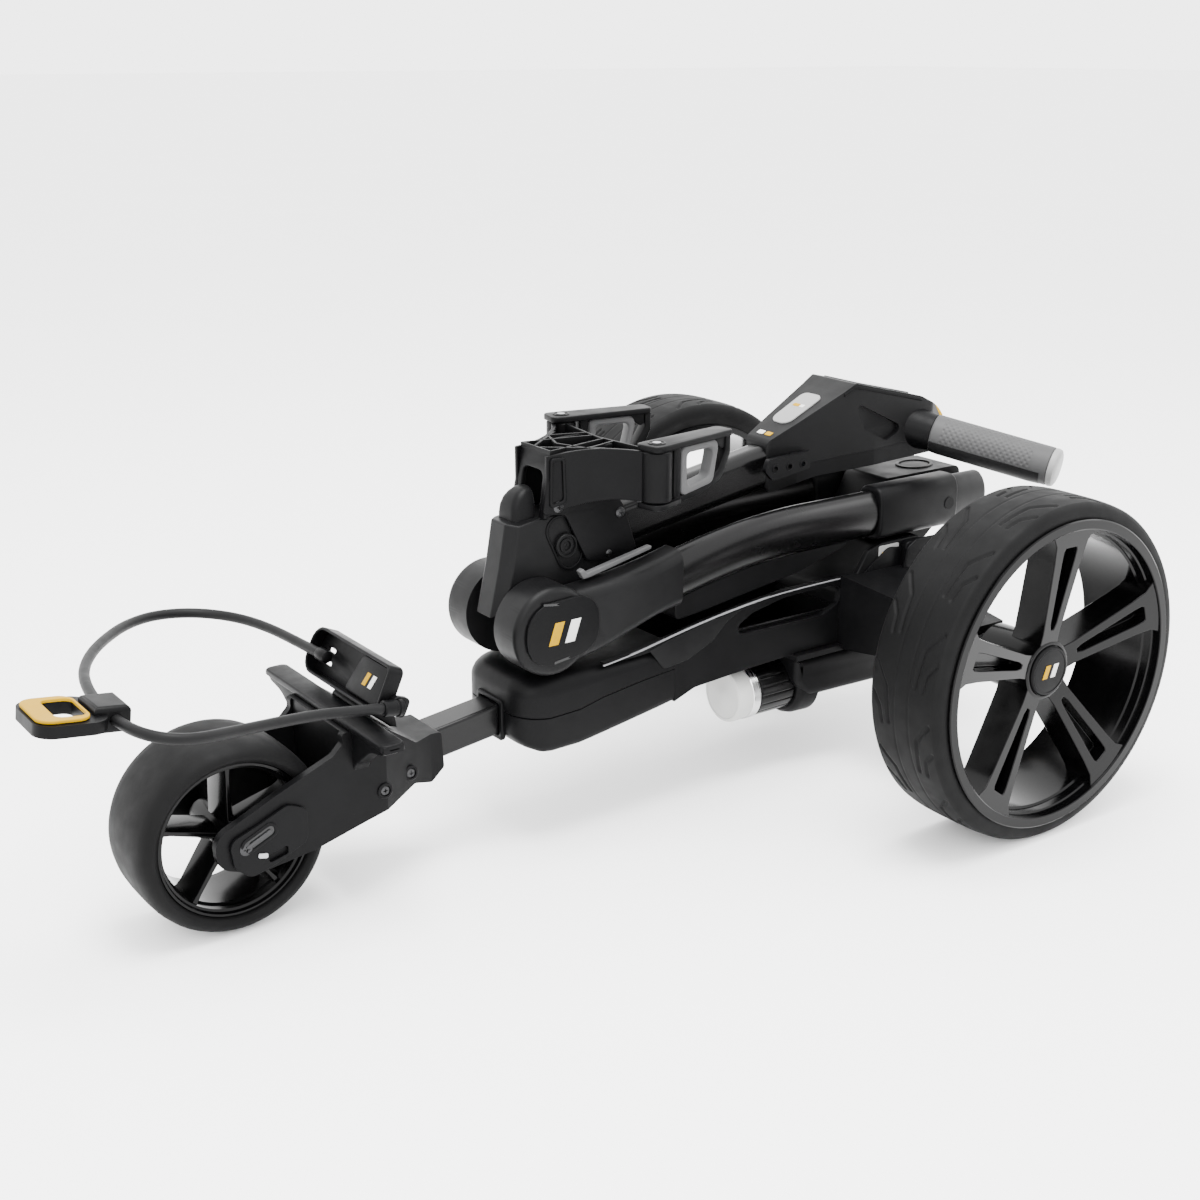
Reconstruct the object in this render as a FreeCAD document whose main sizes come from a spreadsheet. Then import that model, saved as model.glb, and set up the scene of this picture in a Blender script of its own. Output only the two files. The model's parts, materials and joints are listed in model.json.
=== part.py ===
import FreeCAD, Part
import Sketcher
import math
import os

# Electric golf trolley, folded flat as it is stored and carried.
# Millimetres. +X runs forward to the front wheel, +Y to the trolley's left, +Z up.
# The origin is on the floor, midway along and across the trolley.

V = FreeCAD.Vector
doc = FreeCAD.newDocument("GolfTrolley")

# ---------------------------------------------------------------- driving sizes
SIZES = {
    "rear_radius": 150.0,         # rear tyre
    "rear_half_width": 39.0,
    "rear_wheel_y": 245.0,        # middle of each rear tyre
    "rear_rim_radius": 136.0,
    "front_radius": 78.6,         # front tyre
    "front_half_width": 40.0,
    "front_rim_radius": 68.5,
    "wheelbase": 639.4,
    "axle_radius": 6.0,
    "front_axle_radius": 4.0,
    "arm_inner": 42.5,            # fork arms, measured from the middle plane
    "arm_outer": 49.5,
    "front_tube_width": 30.0,
    "front_tube_height": 27.0,
    "tube_wall": 2.0,
    "nose_half_width": 52.0,
    "shell_wall": 3.0,
    "rail_inner": 46.0,
    "rail_outer": 52.0,
    "housing_half_width": 58.0,
    "beam_end": 196.0,            # ends of the axle beam beside the rear wheels
    "tube_y": 44.0,               # twin main tubes, measured from the middle plane
    "tube_half_width": 14.0,
    "tube_half_height": 22.0,
    "elbow_inner": 22.0,
    "elbow_outer": 57.0,
    "elbow_radius": 38.5,
    "mid_hinge_x": 75.8,
    "mid_hinge_z": 196.2,
    "rear_hinge_x": -375.0,
    "rear_hinge_z": 238.0,
    "hinge_pin_radius": 6.0,
    "fit_gap": 0.05,              # running clearance on every pin, on the radius
    "knuckle_half_width": 20.0,
    "bracket_inner": 20.2,
    "bracket_outer": 25.0,
    "wing_hinge_x": -16.0,
    "wing_hinge_y": 70.0,
    "wing_pin_radius": 3.5,
    "wing_lean": 10.0,            # degrees that each folded wing leans inward
    "stem_half_width": 14.0,
    "stem_half_height": 20.0,
    "bar_x": -342.3,              # middle of the handle bar
    "bar_z": 314.0,
    "grip_back": 0.4435,          # heading of each half of the bar
    "grip_out": 0.8786,
    "grip_drop": 0.1757,
    "bar_radius": 11.0,
    "grip_radius": 18.0,
    "grip_start": 52.0,
    "grip_end": 166.0,
    "dial_radius": 19.0,
    "motor_radius": 24.0,
    "motor_y": 22.0,
    "motor_z": 84.0,
    "idler_z": 114.0,
    "strap_diameter": 8.5,
}
sheet = doc.addObject("Spreadsheet::Sheet", "Sizes")
for row, (alias, value) in enumerate(SIZES.items(), start=1):
    sheet.set("A%d" % row, alias)
    sheet.set("B%d" % row, str(value))
    sheet.setAlias("B%d" % row, alias)
doc.recompute()


def size(alias):
    return float(sheet.get(alias))


half_length = (size("wheelbase") + size("rear_radius") + size("front_radius")) / 2
rear_axle = (size("rear_radius") - half_length, size("rear_radius"))
front_axle = (half_length - size("front_radius"), size("front_radius"))
mid_hinge = (size("mid_hinge_x"), size("mid_hinge_z"))
rear_hinge = (size("rear_hinge_x"), size("rear_hinge_z"))

nodes = {}


# ---------------------------------------------------------------- sketch helpers
def corner_arc(before, corner, after, radius):
    """Tangent points and middle of the arc that rounds one corner."""
    to_before = (before - corner).normalize()
    to_after = (after - corner).normalize()
    half_angle = to_before.getAngle(to_after) / 2
    reach = radius / math.tan(half_angle)
    start = corner + to_before * reach
    end = corner + to_after * reach
    bisector = (to_before + to_after).normalize()
    middle = corner + bisector * (radius / math.sin(half_angle) - radius)
    return start, middle, end


def outline_edges(points):
    """Closed outline from (u, v) or (u, v, corner radius) points."""
    corners = [V(p[0], p[1], 0) for p in points]
    radii = [p[2] if len(p) > 2 else 0 for p in points]
    edges, joints = [], []
    count = len(points)
    for i, corner in enumerate(corners):
        if radii[i] > 0:
            start, middle, end = corner_arc(corners[i - 1], corner, corners[(i + 1) % count], radii[i])
            edges.append(Part.Arc(start, middle, end))
            joints.append((start, end))
        else:
            joints.append((corner, corner))
    for i in range(count):
        start, end = joints[i][1], joints[(i + 1) % count][0]
        if (end - start).Length > 1e-6:
            edges.append(Part.LineSegment(start, end))
    return edges


def new_body(label):
    body = doc.addObject("PartDesign::Body", label)
    body.Label = label
    nodes[label] = body
    return body


def plane_of(body, role):
    return next(f for f in body.Origin.OriginFeatures if f.Role == role)


def new_sketch(body, role, offset=0.0):
    """Sketch on one of the body's own planes, moved along that plane's normal."""
    sketch = body.newObject("Sketcher::SketchObject", body.Name + "_sketch")
    sketch.AttachmentSupport = [(plane_of(body, role), "")]
    sketch.MapMode = "FlatFace"
    if isinstance(offset, str):
        sketch.setExpression("AttachmentOffset.Base.z", offset)
    else:
        sketch.AttachmentOffset = FreeCAD.Placement(V(0, 0, offset), FreeCAD.Rotation())
    return sketch


def draw(sketch, *outlines):
    for points in outlines:
        for edge in outline_edges(points):
            sketch.addGeometry(edge)


def draw_circle(sketch, centre, radius_expression):
    """Circle whose radius follows the sheet."""
    index = sketch.addGeometry(Part.Circle(V(centre[0], centre[1], 0), V(0, 0, 1), 1.0))
    constraint = sketch.addConstraint(Sketcher.Constraint("Radius", index, 1.0))
    sketch.addConstraint(Sketcher.Constraint("DistanceX", -1, 1, index, 3, centre[0]))
    sketch.addConstraint(Sketcher.Constraint("DistanceY", -1, 1, index, 3, centre[1]))
    sketch.setExpression("Constraints[%d]" % constraint, radius_expression)


def add_pad(body, sketch, length):
    pad = body.newObject("PartDesign::Pad", body.Name + "_pad")
    pad.Profile = sketch
    pad.setExpression("Length", length)
    return pad


def add_pocket(body, sketch, length):
    pocket = body.newObject("PartDesign::Pocket", body.Name + "_pocket")
    pocket.Profile = sketch
    pocket.SideType = "Symmetric"
    pocket.setExpression("Length", length)
    return pocket


def side_slab(label_or_body, outline, low, high):
    """Side-view outline (x, z) padded between two Y planes, given as expressions."""
    body = new_body(label_or_body) if isinstance(label_or_body, str) else label_or_body
    # the XZ plane's normal is -Y, so the sketch sits at the high Y and pads down to the low Y
    sketch = new_sketch(body, "XZ_Plane", "-(%s)" % high)
    draw(sketch, outline)
    add_pad(body, sketch, "(%s) - (%s)" % (high, low))
    return body


def side_cut(body, outlines, low, high):
    """Cuts side-view outlines through the body between two Y planes."""
    sketch = new_sketch(body, "XZ_Plane", "-((%s) + (%s)) / 2" % (low, high))
    draw(sketch, *outlines)
    return add_pocket(body, sketch, "(%s) - (%s)" % (high, low))


def side_bore(body, centre, radius, low="-300", high="300"):
    """Round hole along Y."""
    sketch = new_sketch(body, "XZ_Plane", "-((%s) + (%s)) / 2" % (low, high))
    draw_circle(sketch, centre, radius)
    return add_pocket(body, sketch, "(%s) - (%s)" % (high, low))


def plan_cut(body, outlines, low, high):
    """Cuts plan-view outlines (x, y) between two heights, given as numbers."""
    sketch = new_sketch(body, "XY_Plane", (low + high) / 2)
    draw(sketch, *outlines)
    return add_pocket(body, sketch, str(high - low))


def side_range(side, inner, outer):
    """Low and high Y expressions of a piece on the left (+1) or right (-1)."""
    return (inner, outer) if side > 0 else ("-(%s)" % outer, "-(%s)" % inner)


def round_edges(body, radius, wanted):
    """Fillet on the edges that pass the test."""
    doc.recompute()
    base = body.Tip
    names = ["Edge%d" % (i + 1) for i, edge in enumerate(base.Shape.Edges) if wanted(edge)]
    fillet = body.newObject("PartDesign::Fillet", body.Name + "_fillet")
    fillet.Base = (base, names)
    fillet.Radius = radius
    doc.recompute()
    return fillet


def on_side(*levels):
    """Test for edges that lie wholly in one of the given Y planes."""
    def wanted(edge):
        box = edge.BoundBox
        return any(abs(box.YMin - y) < 0.01 and abs(box.YMax - y) < 0.01 for y in levels)
    return wanted


def solid_node(label, shape):
    """Node whose shape comes from Part's own functions."""
    feature = doc.addObject("Part::Feature", label)
    feature.Label = label
    feature.Shape = shape
    nodes[label] = feature
    return feature


def along_y(radius, x, z, low, high):
    return Part.makeCylinder(radius, high - low, V(x, low, z), V(0, 1, 0))


def side_prism(outline, low, high):
    """Solid from a side-view outline between two Y values."""
    wire = Part.Wire(Part.__sortEdges__([e.toShape() for e in outline_edges(outline)]))
    face = Part.Face(wire)
    face.rotate(V(0, 0, 0), V(1, 0, 0), 90)
    face.translate(V(0, high, 0))
    return face.extrude(V(0, low - high, 0))


def revolved(profile, x, z, y=0.0):
    """Solid of revolution about a Y axis from (y, radius) points with optional corner radii."""
    wire = Part.Wire(Part.__sortEdges__([e.toShape() for e in outline_edges(profile)]))
    face = Part.Face(wire)
    # the profile's first coordinate becomes Y and its second the radius along Z
    face.transformShape(FreeCAD.Matrix(0, 0, 1, x, 1, 0, 0, y, 0, 1, 0, z, 0, 0, 0, 1))
    return face.revolve(V(x, y, z), V(0, 1, 0), 360)


def plan_prism(outline, low, high):
    """Upright prism between two heights, mirrored from its +Y half."""
    full = outline + [(x, -y, *rest) for x, y, *rest in reversed(outline)]
    edges = [edge.toShape() for edge in outline_edges(full)]
    prism = Part.Face(Part.Wire(Part.__sortEdges__(edges))).extrude(V(0, 0, high - low))
    prism.translate(V(0, 0, low))
    return prism


# ---------------------------------------------------------------- front fork and wheel
def front_wheel():
    r, half = size("front_radius"), size("front_half_width")
    x, z = front_axle
    seat = 63.0
    tyre = [(-half + 6, seat), (-half, seat + 4, 3), (-half + 6, r - 1, 15), (half - 6, r - 1, 15),
            (half, seat + 4, 3), (half - 6, seat)]
    solid_node("front_tyre", revolved(tyre, x, z).common(along_y(r, x, z, -half, half)))
    face, rim = 31.5, seat - 0.2
    barrel = [(-face, rim - 6), (-face, rim), (face, rim), (face, rim - 6), (0, rim - 9)]
    ring = revolved(barrel, x, z)
    hub = along_y(13, x, z, -30, 30)
    bore = along_y(size("front_axle_radius") + size("fit_gap"), x, z, -40, 40)
    solids = [ring, hub.cut(bore)]
    for index in range(5):
        spoke = side_prism([(10, -5), (rim - 4, -3.5), (rim - 4, 3.5), (10, 5)], 4, 27)
        spoke.rotate(V(0, 0, 0), V(0, 1, 0), -(18 + 72 * index))
        spoke.translate(V(x, 0, z))
        solids.append(spoke.cut([ring, hub]))
    solid_node("front_rim", Part.makeCompound(solids))
    solid_node("front_axle", along_y(size("front_axle_radius"), x, z, -55, 53))


def front_fork():
    """Yoke: a crown behind the wheel, an arm each side, and a clamp on the front tube."""
    side_view = [(166, 88, 3), (178, 77, 3), (199, 85, 5), (252, 72, 8), (298, 60, 12), (344, 54, 12),
                 (378, 66, 16), (378, 92, 16), (350, 104, 20), (330, 113, 10), (278, 134, 8),
                 (270, 142, 5), (270, 151, 3), (238, 151, 3), (211, 131, 8), (196, 119.5, 6), (168, 119.5, 3)]
    body = side_slab("front_fork", side_view, "-Sizes.arm_outer", "Sizes.arm_outer")
    wheel_space = [(268, 20), (420, 20), (420, 180), (284, 180), (268, 150)]
    side_cut(body, [wheel_space], "-Sizes.arm_inner", "Sizes.arm_inner")
    taper = [(150, 24), (178, 24), (236, 51), (236, 70), (150, 70)]
    plan_cut(body, [taper, [(px, -py) for px, py in reversed(taper)]], 40, 200)
    side_bore(body, front_axle, "Sizes.front_axle_radius")
    # socket for the front tube, which slopes up to the rear
    doc.recompute()
    socket = new_sketch(body, "YZ_Plane")
    slope = FreeCAD.Rotation(V(1, 0, 0), TUBE_SLOPE)
    socket.AttachmentOffset = FreeCAD.Placement(V(0, TUBE_FRONT[1], TUBE_FRONT[0]), slope)
    half_y, half_z = size("front_tube_width") / 2, size("front_tube_height") / 2
    draw(socket, [(-half_y, -half_z), (half_y, -half_z), (half_y, half_z), (-half_y, half_z)])
    add_pocket(body, socket, "200")


# middle of the front tube's front end, and its slope in degrees
TUBE_FRONT = (262.0, 92.0)
TUBE_SLOPE = 7.5
TUBE_PLACE = FreeCAD.Placement(V(TUBE_FRONT[0], 0, TUBE_FRONT[1]), FreeCAD.Rotation(V(0, 1, 0), TUBE_SLOPE))


def front_tube():
    length = 205.0
    half_y, half_z = size("front_tube_width") / 2, size("front_tube_height") / 2
    wall = size("tube_wall")
    body = new_body("front_tube")
    sketch = new_sketch(body, "YZ_Plane")
    draw(sketch, [(-half_y, -half_z, 3), (half_y, -half_z, 3), (half_y, half_z, 3), (-half_y, half_z, 3)],
         [(-half_y + wall, -half_z + wall), (half_y - wall, -half_z + wall),
          (half_y - wall, half_z - wall), (-half_y + wall, half_z - wall)])
    pad = add_pad(body, sketch, str(length))
    pad.Reversed = True
    body.Placement = TUBE_PLACE


def front_adjuster():
    """Tracking plate that clamps the near end of the front axle."""
    x, z = front_axle
    outline = [(x + 13, z + 8, 9), (x - 12, z + 17, 12), (x - 36, z + 27, 10), (x - 52, z + 20, 8),
               (x - 51, z - 7, 8), (x - 24, z - 19, 12), (x - 3, z - 25, 9), (x + 10, z - 14, 9)]
    body = side_slab("front_adjuster", outline, "Sizes.arm_outer + 0.3", "Sizes.arm_outer + 3.3")
    side_bore(body, front_axle, "Sizes.front_axle_radius + Sizes.fit_gap", "40", "60")
    slot = [(x - 34, z - 6, 2), (x - 18, z - 10, 2), (x - 18, z - 17, 2), (x - 34, z - 13, 2)]
    side_cut(body, [slot], "40", "60")


# ---------------------------------------------------------------- lower bag support and strap
def bag_base():
    """Cross bar that the bag's base stands on."""
    bar = [(-105, 152, 2), (-80, 151.2), (80, 151.2), (105, 152, 2), (105, 157, 2), (-105, 157, 2)]
    body = new_body("bag_base_cradle")
    sketch = new_sketch(body, "YZ_Plane", 244)
    draw(sketch, bar)
    add_pad(body, sketch, "20")


def bracket_profile():
    """Channel across the trolley: back plate with a lip along the top and the bottom."""
    return [(0, -20, 1), (14, -20, 2), (14, -17, 1), (3, -17), (3, 17), (14, 17, 1), (14, 20, 2), (0, 20, 1)]


BRACKET_PLACE = FreeCAD.Placement(V(228.5, 0, 179), FreeCAD.Rotation(V(0, 1, 0), -24.0))
STRAP_ROUTE = [
    (240, -32, 183), (244, -75, 184), (251, -122, 186), (264, -160, 187), (291, -183, 190), (325, -184, 194),
    (358, -163, 198), (388, -127, 202), (412, -92, 205), (432, -52, 207), (443, -12, 209), (449, 30, 210),
    (449, 66, 210), (444, 93, 209), (430, 108, 206), (410, 111, 202), (380, 102, 197), (342, 88, 190),
    (303, 78, 184), (266, 73, 177), (232, 71, 171),
]


def lower_bracket():
    """Bag bracket and the foot that stands it on the fork's crown."""
    channel = side_prism([tuple(corner) for corner in bracket_profile()], -64, 64)
    channel.Placement = BRACKET_PLACE
    foot = side_prism([(206, 131), (212, 133), (234, 151.3), (243.5, 151.3), (243.5, 158), (238, 161),
                       (236.3, 162), (223, 178), (214, 176), (209, 150)], -20, 20)
    end_outline = [(0, -20, 3), (7, -20, 3), (7, 20, 3), (0, 20, 3)]
    for low, high in ((-64, -61), (61, 64)):
        end = side_prism(end_outline, low, high)
        end.Placement = BRACKET_PLACE
        channel = channel.fuse(end)
    solid_node("lower_bag_bracket", channel.fuse(foot).removeSplitter())


def strap_path(points):
    """Straight runs joined by tangent arcs, as one wire."""
    corners = [V(*p) for p in points]
    edges = []
    position = corners[0]
    for before, corner, after in zip(corners, corners[1:], corners[2:]):
        to_before, to_after = before - corner, after - corner
        turn = math.pi - to_before.getAngle(to_after)
        reach = 0.45 * min(to_before.Length, to_after.Length)
        radius = reach / math.tan(turn / 2)
        print("strap turn %5.1f deg, radius %6.1f mm" % (math.degrees(turn), radius))
        start, middle, end = corner_arc(before, corner, after, radius)
        edges.append(Part.LineSegment(position, start).toShape())
        edges.append(Part.Arc(start, middle, end).toShape())
        position = end
    edges.append(Part.LineSegment(position, corners[-1]).toShape())
    return Part.Wire(edges)


def strap_tube(path, radius):
    heading = V(*STRAP_ROUTE[1]) - V(*STRAP_ROUTE[0])
    circle = Part.Wire(Part.Circle(V(*STRAP_ROUTE[0]), heading, radius).toShape())
    return path.makePipeShell([circle], True, False)


def strap():
    path = strap_path(STRAP_ROUTE)
    radius = size("strap_diameter") / 2
    tube = strap_tube(path, radius)
    expected = math.pi * radius ** 2 * path.Length
    print("strap length %.1f mm, volume ratio %.4f" % (path.Length, tube.Volume / expected))
    solid_node("strap_cord", tube)
    hook(strap_tube(path, radius + 0.1))


def hook(strap_space):
    """Hook plate that the strap runs through, and its coloured face."""
    centre = V(449, 48, 210)
    frame = FreeCAD.Placement(centre, FreeCAD.Rotation(V(0, 1, 0), -7.0))
    block = Part.makeBox(26, 34, 20, V(-11, -17, -10))
    block = block.makeFillet(4, [e for e in block.Edges if e.Length > 25])
    plate = Part.makeBox(52, 60, 9, V(6, -30, -4.5))
    plate = plate.makeFillet(14, [e for e in plate.Edges if abs(e.Length - 9) < 0.1])
    window = Part.makeBox(22, 38, 30, V(20, -19, -15))
    upright = [e for e in window.Edges if abs(e.Length - 30) < 0.1 and e.BoundBox.ZLength > 29]
    window = window.makeFillet(6, upright)
    body = block.fuse(plate).cut(window)
    insert = Part.makeBox(38, 52, 2.5, V(18, -26, 4.7))
    insert = insert.makeFillet(11, [e for e in insert.Edges if abs(e.Length - 2.5) < 0.1])
    insert = insert.cut(window)
    for label, shape in (("hook_body", body.removeSplitter()), ("hook_insert", insert)):
        shape.Placement = frame.multiply(shape.Placement)
        solid_node(label, shape.cut(strap_space))


def strap_anchors():
    """Gland for the strap's far end, inside the channel, and the lug outside its end for the near one."""
    bracket = nodes["lower_bag_bracket"].Shape
    shapes = []
    strap_ends = ((STRAP_ROUTE[0], STRAP_ROUTE[1], 6.5), (STRAP_ROUTE[-1], STRAP_ROUTE[-2], 6.8))
    for end, neighbour, radius in strap_ends:
        heading = (V(*neighbour) - V(*end)).normalize()
        shapes.append(Part.makeCylinder(radius, 16, V(*end) - heading * 16, heading))
    lug = side_prism([(226, 160, 5), (240, 166, 5), (232, 182, 5), (218, 176, 5)], 64, 72)
    shapes[1] = shapes[1].fuse(lug).cut(strap_tube(strap_path(STRAP_ROUTE), size("strap_diameter") / 2))
    solid_node("strap_anchors", Part.makeCompound([shape.cut(bracket) for shape in shapes]))


# ---------------------------------------------------------------- chassis
SEAM = [(105, 121), (58, 118), (24, 126), (-19, 132), (-52, 135)]


def nose():
    """Hollow nose in two shells that hold the front tube."""
    half, wall = size("nose_half_width"), size("shell_wall")
    underside = [(-52, 104, 3), (-36, 100, 10), (25, 91, 20), (60, 85, 25), (92, 88, 10), (105, 98, 6)]
    plan = plan_prism([(-60, half), (105, half, 34)], 60, 180)
    lower = side_prism(underside + SEAM, -half, half).common(plan)
    inner_plan = plan_prism([(-60, half - wall), (102, half - wall, 31)], 60, 180)
    hollow = side_prism([(-60, 112), (-36, 104), (60, 90), (98, 96), (98, 160), (-60, 160)], -half, half)
    hollow = hollow.common(inner_plan)
    solid_node("nose_lower_shell", lower.cut(hollow).cut(tube_space()))
    above_seam = [(x, z + 0.1) for x, z in SEAM]
    top = [(-52, 158, 4), (-10, 155.5, 8), (98, 155.5, 10), (105, 146, 6)]
    upper = side_prism(above_seam + top, -half, half).common(plan)
    hollow = side_prism([(-60, 100), (98, 100), (98, 146), (-60, 150)], -half, half).common(inner_plan)
    solid_node("nose_upper_shell", upper.cut(hollow).cut(tube_space()))


def tube_space():
    """Hole that the front tube fills."""
    half_y, half_z = size("front_tube_width") / 2, size("front_tube_height") / 2
    block = Part.makeBox(230, 2 * half_y, 2 * half_z, V(-230, -half_y, -half_z))
    block.Placement = TUBE_PLACE
    return block


RIM_LINE = [(24, 156.5), (-10, 159.5), (-40, 165), (-84, 173), (-130, 179), (-177, 184), (-246, 184),
            (-296, 176)]


def frame_rails():
    """Side frames from the nose to the rear housing, each with a long window under its rim."""
    outline = RIM_LINE + [(-296, 120), (-196, 120, 10), (-133, 117, 20), (-75, 113, 20), (-52.2, 104.5),
                          (-52.2, 155), (24, 155)]
    window = [(-106, 152, 6), (-140, 170, 10), (-178, 177.5, 20), (-232, 178.5, 10), (-247, 175, 5),
              (-245, 160, 8), (-225, 151, 20)]
    shapes = []
    for side in (1, -1):
        low, high = sorted((side * size("rail_inner"), side * size("rail_outer")))
        rail = side_prism(outline, low, high).cut(side_prism(window, low - 1, high + 1))
        axle_hole = along_y(size("axle_radius") + 3, *rear_axle, -60, 60)
        rail = rail.cut([nodes["nose_lower_shell"].Shape, nodes["nose_upper_shell"].Shape, axle_hole])
        shapes.append(rail)
    solid_node("frame_rails", Part.makeCompound(shapes))


def battery_tray():
    """Open tray between the rails that the battery drops into."""
    inner, wall = size("rail_inner") - 0.1, size("shell_wall")
    tray = Part.makeBox(196, 2 * inner, 40, V(-250, -inner, 120))
    space = Part.makeBox(190, 2 * (inner - wall), 60, V(-247, -inner + wall, 120 + wall))
    ramp = side_prism([(-54, 170), (-54, 126), (-58, 126), (-70, 170)], -60, 60)
    tray_room = Part.makeBox(230, 200, 34, V(-280, -100, 120))
    solid_node("battery_tray", tray.cut(space).cut(ramp).common(tray_room))


def rear_housing():
    """Shell round the axle and gears, with a beam out to each rear wheel."""
    half = size("housing_half_width")
    pod = [(-250.5, 119.6), (-190, 119.6), (-190, 114), (-338, 114), (-338, 200, 20), (-300, 206, 15),
           (-250.5, 171, 12)]
    shape = side_prism(pod, -half, half)
    beam_wires = []
    for y, (height, depth) in ((half - 6, (36, 38)), (size("beam_end"), (20, 24))):
        x, z = rear_axle
        corners = [V(x - depth, y, z - height), V(x + depth, y, z - height),
                   V(x + depth, y, z + height), V(x - depth, y, z + height)]
        beam_wires.append(Part.makePolygon(corners + corners[:1]))
    beam = Part.makeLoft(beam_wires, True, True)
    shape = shape.fuse(beam).fuse(beam.mirror(V(0, 0, 0), V(0, 1, 0)))
    inside = [(-254, 100), (-332, 100), (-332, 188), (-302, 198), (-254, 166)]
    cavity = side_prism(inside, -half + 3, half - 3)
    shape = shape.cut(cavity).cut(along_y(size("axle_radius") + 7.0, *rear_axle, -220, 220))
    swing = Part.makeCylinder(66, 200, V(rear_hinge[0], -100, rear_hinge[1]), V(0, 1, 0))
    rails = nodes["frame_rails"].Shape
    solid_node("rear_housing", shape.cut(swing).cut(rails).removeSplitter())


def gearbox_cover():
    half = size("housing_half_width") - 2
    outline = [(-192, 113.9), (-192, 80, 14), (-250, 72, 20), (-320, 74, 16), (-336, 96, 12), (-336, 113.9)]
    cavity = [(-196, 120), (-196, 79), (-250, 75), (-318, 76.2), (-332, 98), (-332, 120)]
    shape = side_prism(outline, -half, half).cut(side_prism(cavity, -half + 3, half - 3))
    motor_end = V(-215, size("motor_y"), size("motor_z"))
    motor_space = Part.makeCylinder(size("motor_radius") + 0.2, 60, motor_end, V(1, 0, 0))
    solid_node("gearbox_cover", shape.cut(motor_space))


def motor():
    """Motor along the trolley, with a bright band and a pale end cap at its front."""
    y, z, r = size("motor_y"), size("motor_z"), size("motor_radius")
    forward = V(1, 0, 0)
    can = Part.makeCylinder(r, 52, V(-214, y, z), forward)
    solid_node("motor_body", can)
    solid_node("motor_band", Part.makeCylinder(r + 0.6, 7, V(-162, y, z), forward))
    cap = Part.makeCylinder(r, 9, V(-155, y, z), forward)
    solid_node("motor_end_cap", cap.makeFillet(3, [e for e in cap.Edges if e.BoundBox.XMin > -147]))


def gear(teeth, tip, root, low, high):
    """Toothed wheel about the Y axis at the origin, with trapezoid teeth."""
    shape = along_y(root, 0, 0, low, high)
    pitch = 360.0 / teeth
    base, crest = root * math.radians(pitch) * 0.28, tip * math.radians(pitch) * 0.14
    for index in range(teeth):
        tooth = side_prism([(root - 1, -base), (tip, -crest), (tip, crest), (root - 1, base)], low, high)
        tooth.rotate(V(0, 0, 0), V(0, 1, 0), pitch * index)
        shape = shape.fuse(tooth)
    return shape


def gear_train():
    """Worm on the motor shaft, cross shaft with worm wheel and pinion, and the axle's gear."""
    y, z = size("motor_y"), size("motor_z")
    worm_shaft = Part.makeCylinder(4, 85, V(-300, y, z), V(1, 0, 0))
    worm = Part.makeCylinder(7, 26, V(-292, y, z), V(1, 0, 0))
    solid_node("worm_shaft", worm_shaft.fuse(worm).removeSplitter())
    idler_x = -279.0
    idler_z = size("idler_z")
    wheel_tip = idler_z - z - 7.3
    wheel = gear(24, wheel_tip, wheel_tip - 1.8, y - 5, y + 5)
    pinion = gear(12, 12.0, 9.6, -30, -20)
    shaft = along_y(4, 0, 0, -46, 46)
    idler = wheel.fuse(pinion).fuse(shaft)
    idler.translate(V(idler_x, 0, idler_z))
    solid_node("idler_shaft", idler.removeSplitter())
    reach = math.hypot(rear_axle[0] - idler_x, rear_axle[1] - idler_z) - 12.3
    axle_gear = gear(36, reach, reach - 2.2, -30, -20)
    axle_gear.translate(V(rear_axle[0], 0, rear_axle[1]))
    solid_node("axle_gear", axle_gear.cut(along_y(size("axle_radius"), *rear_axle, -40, 40)))


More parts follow.
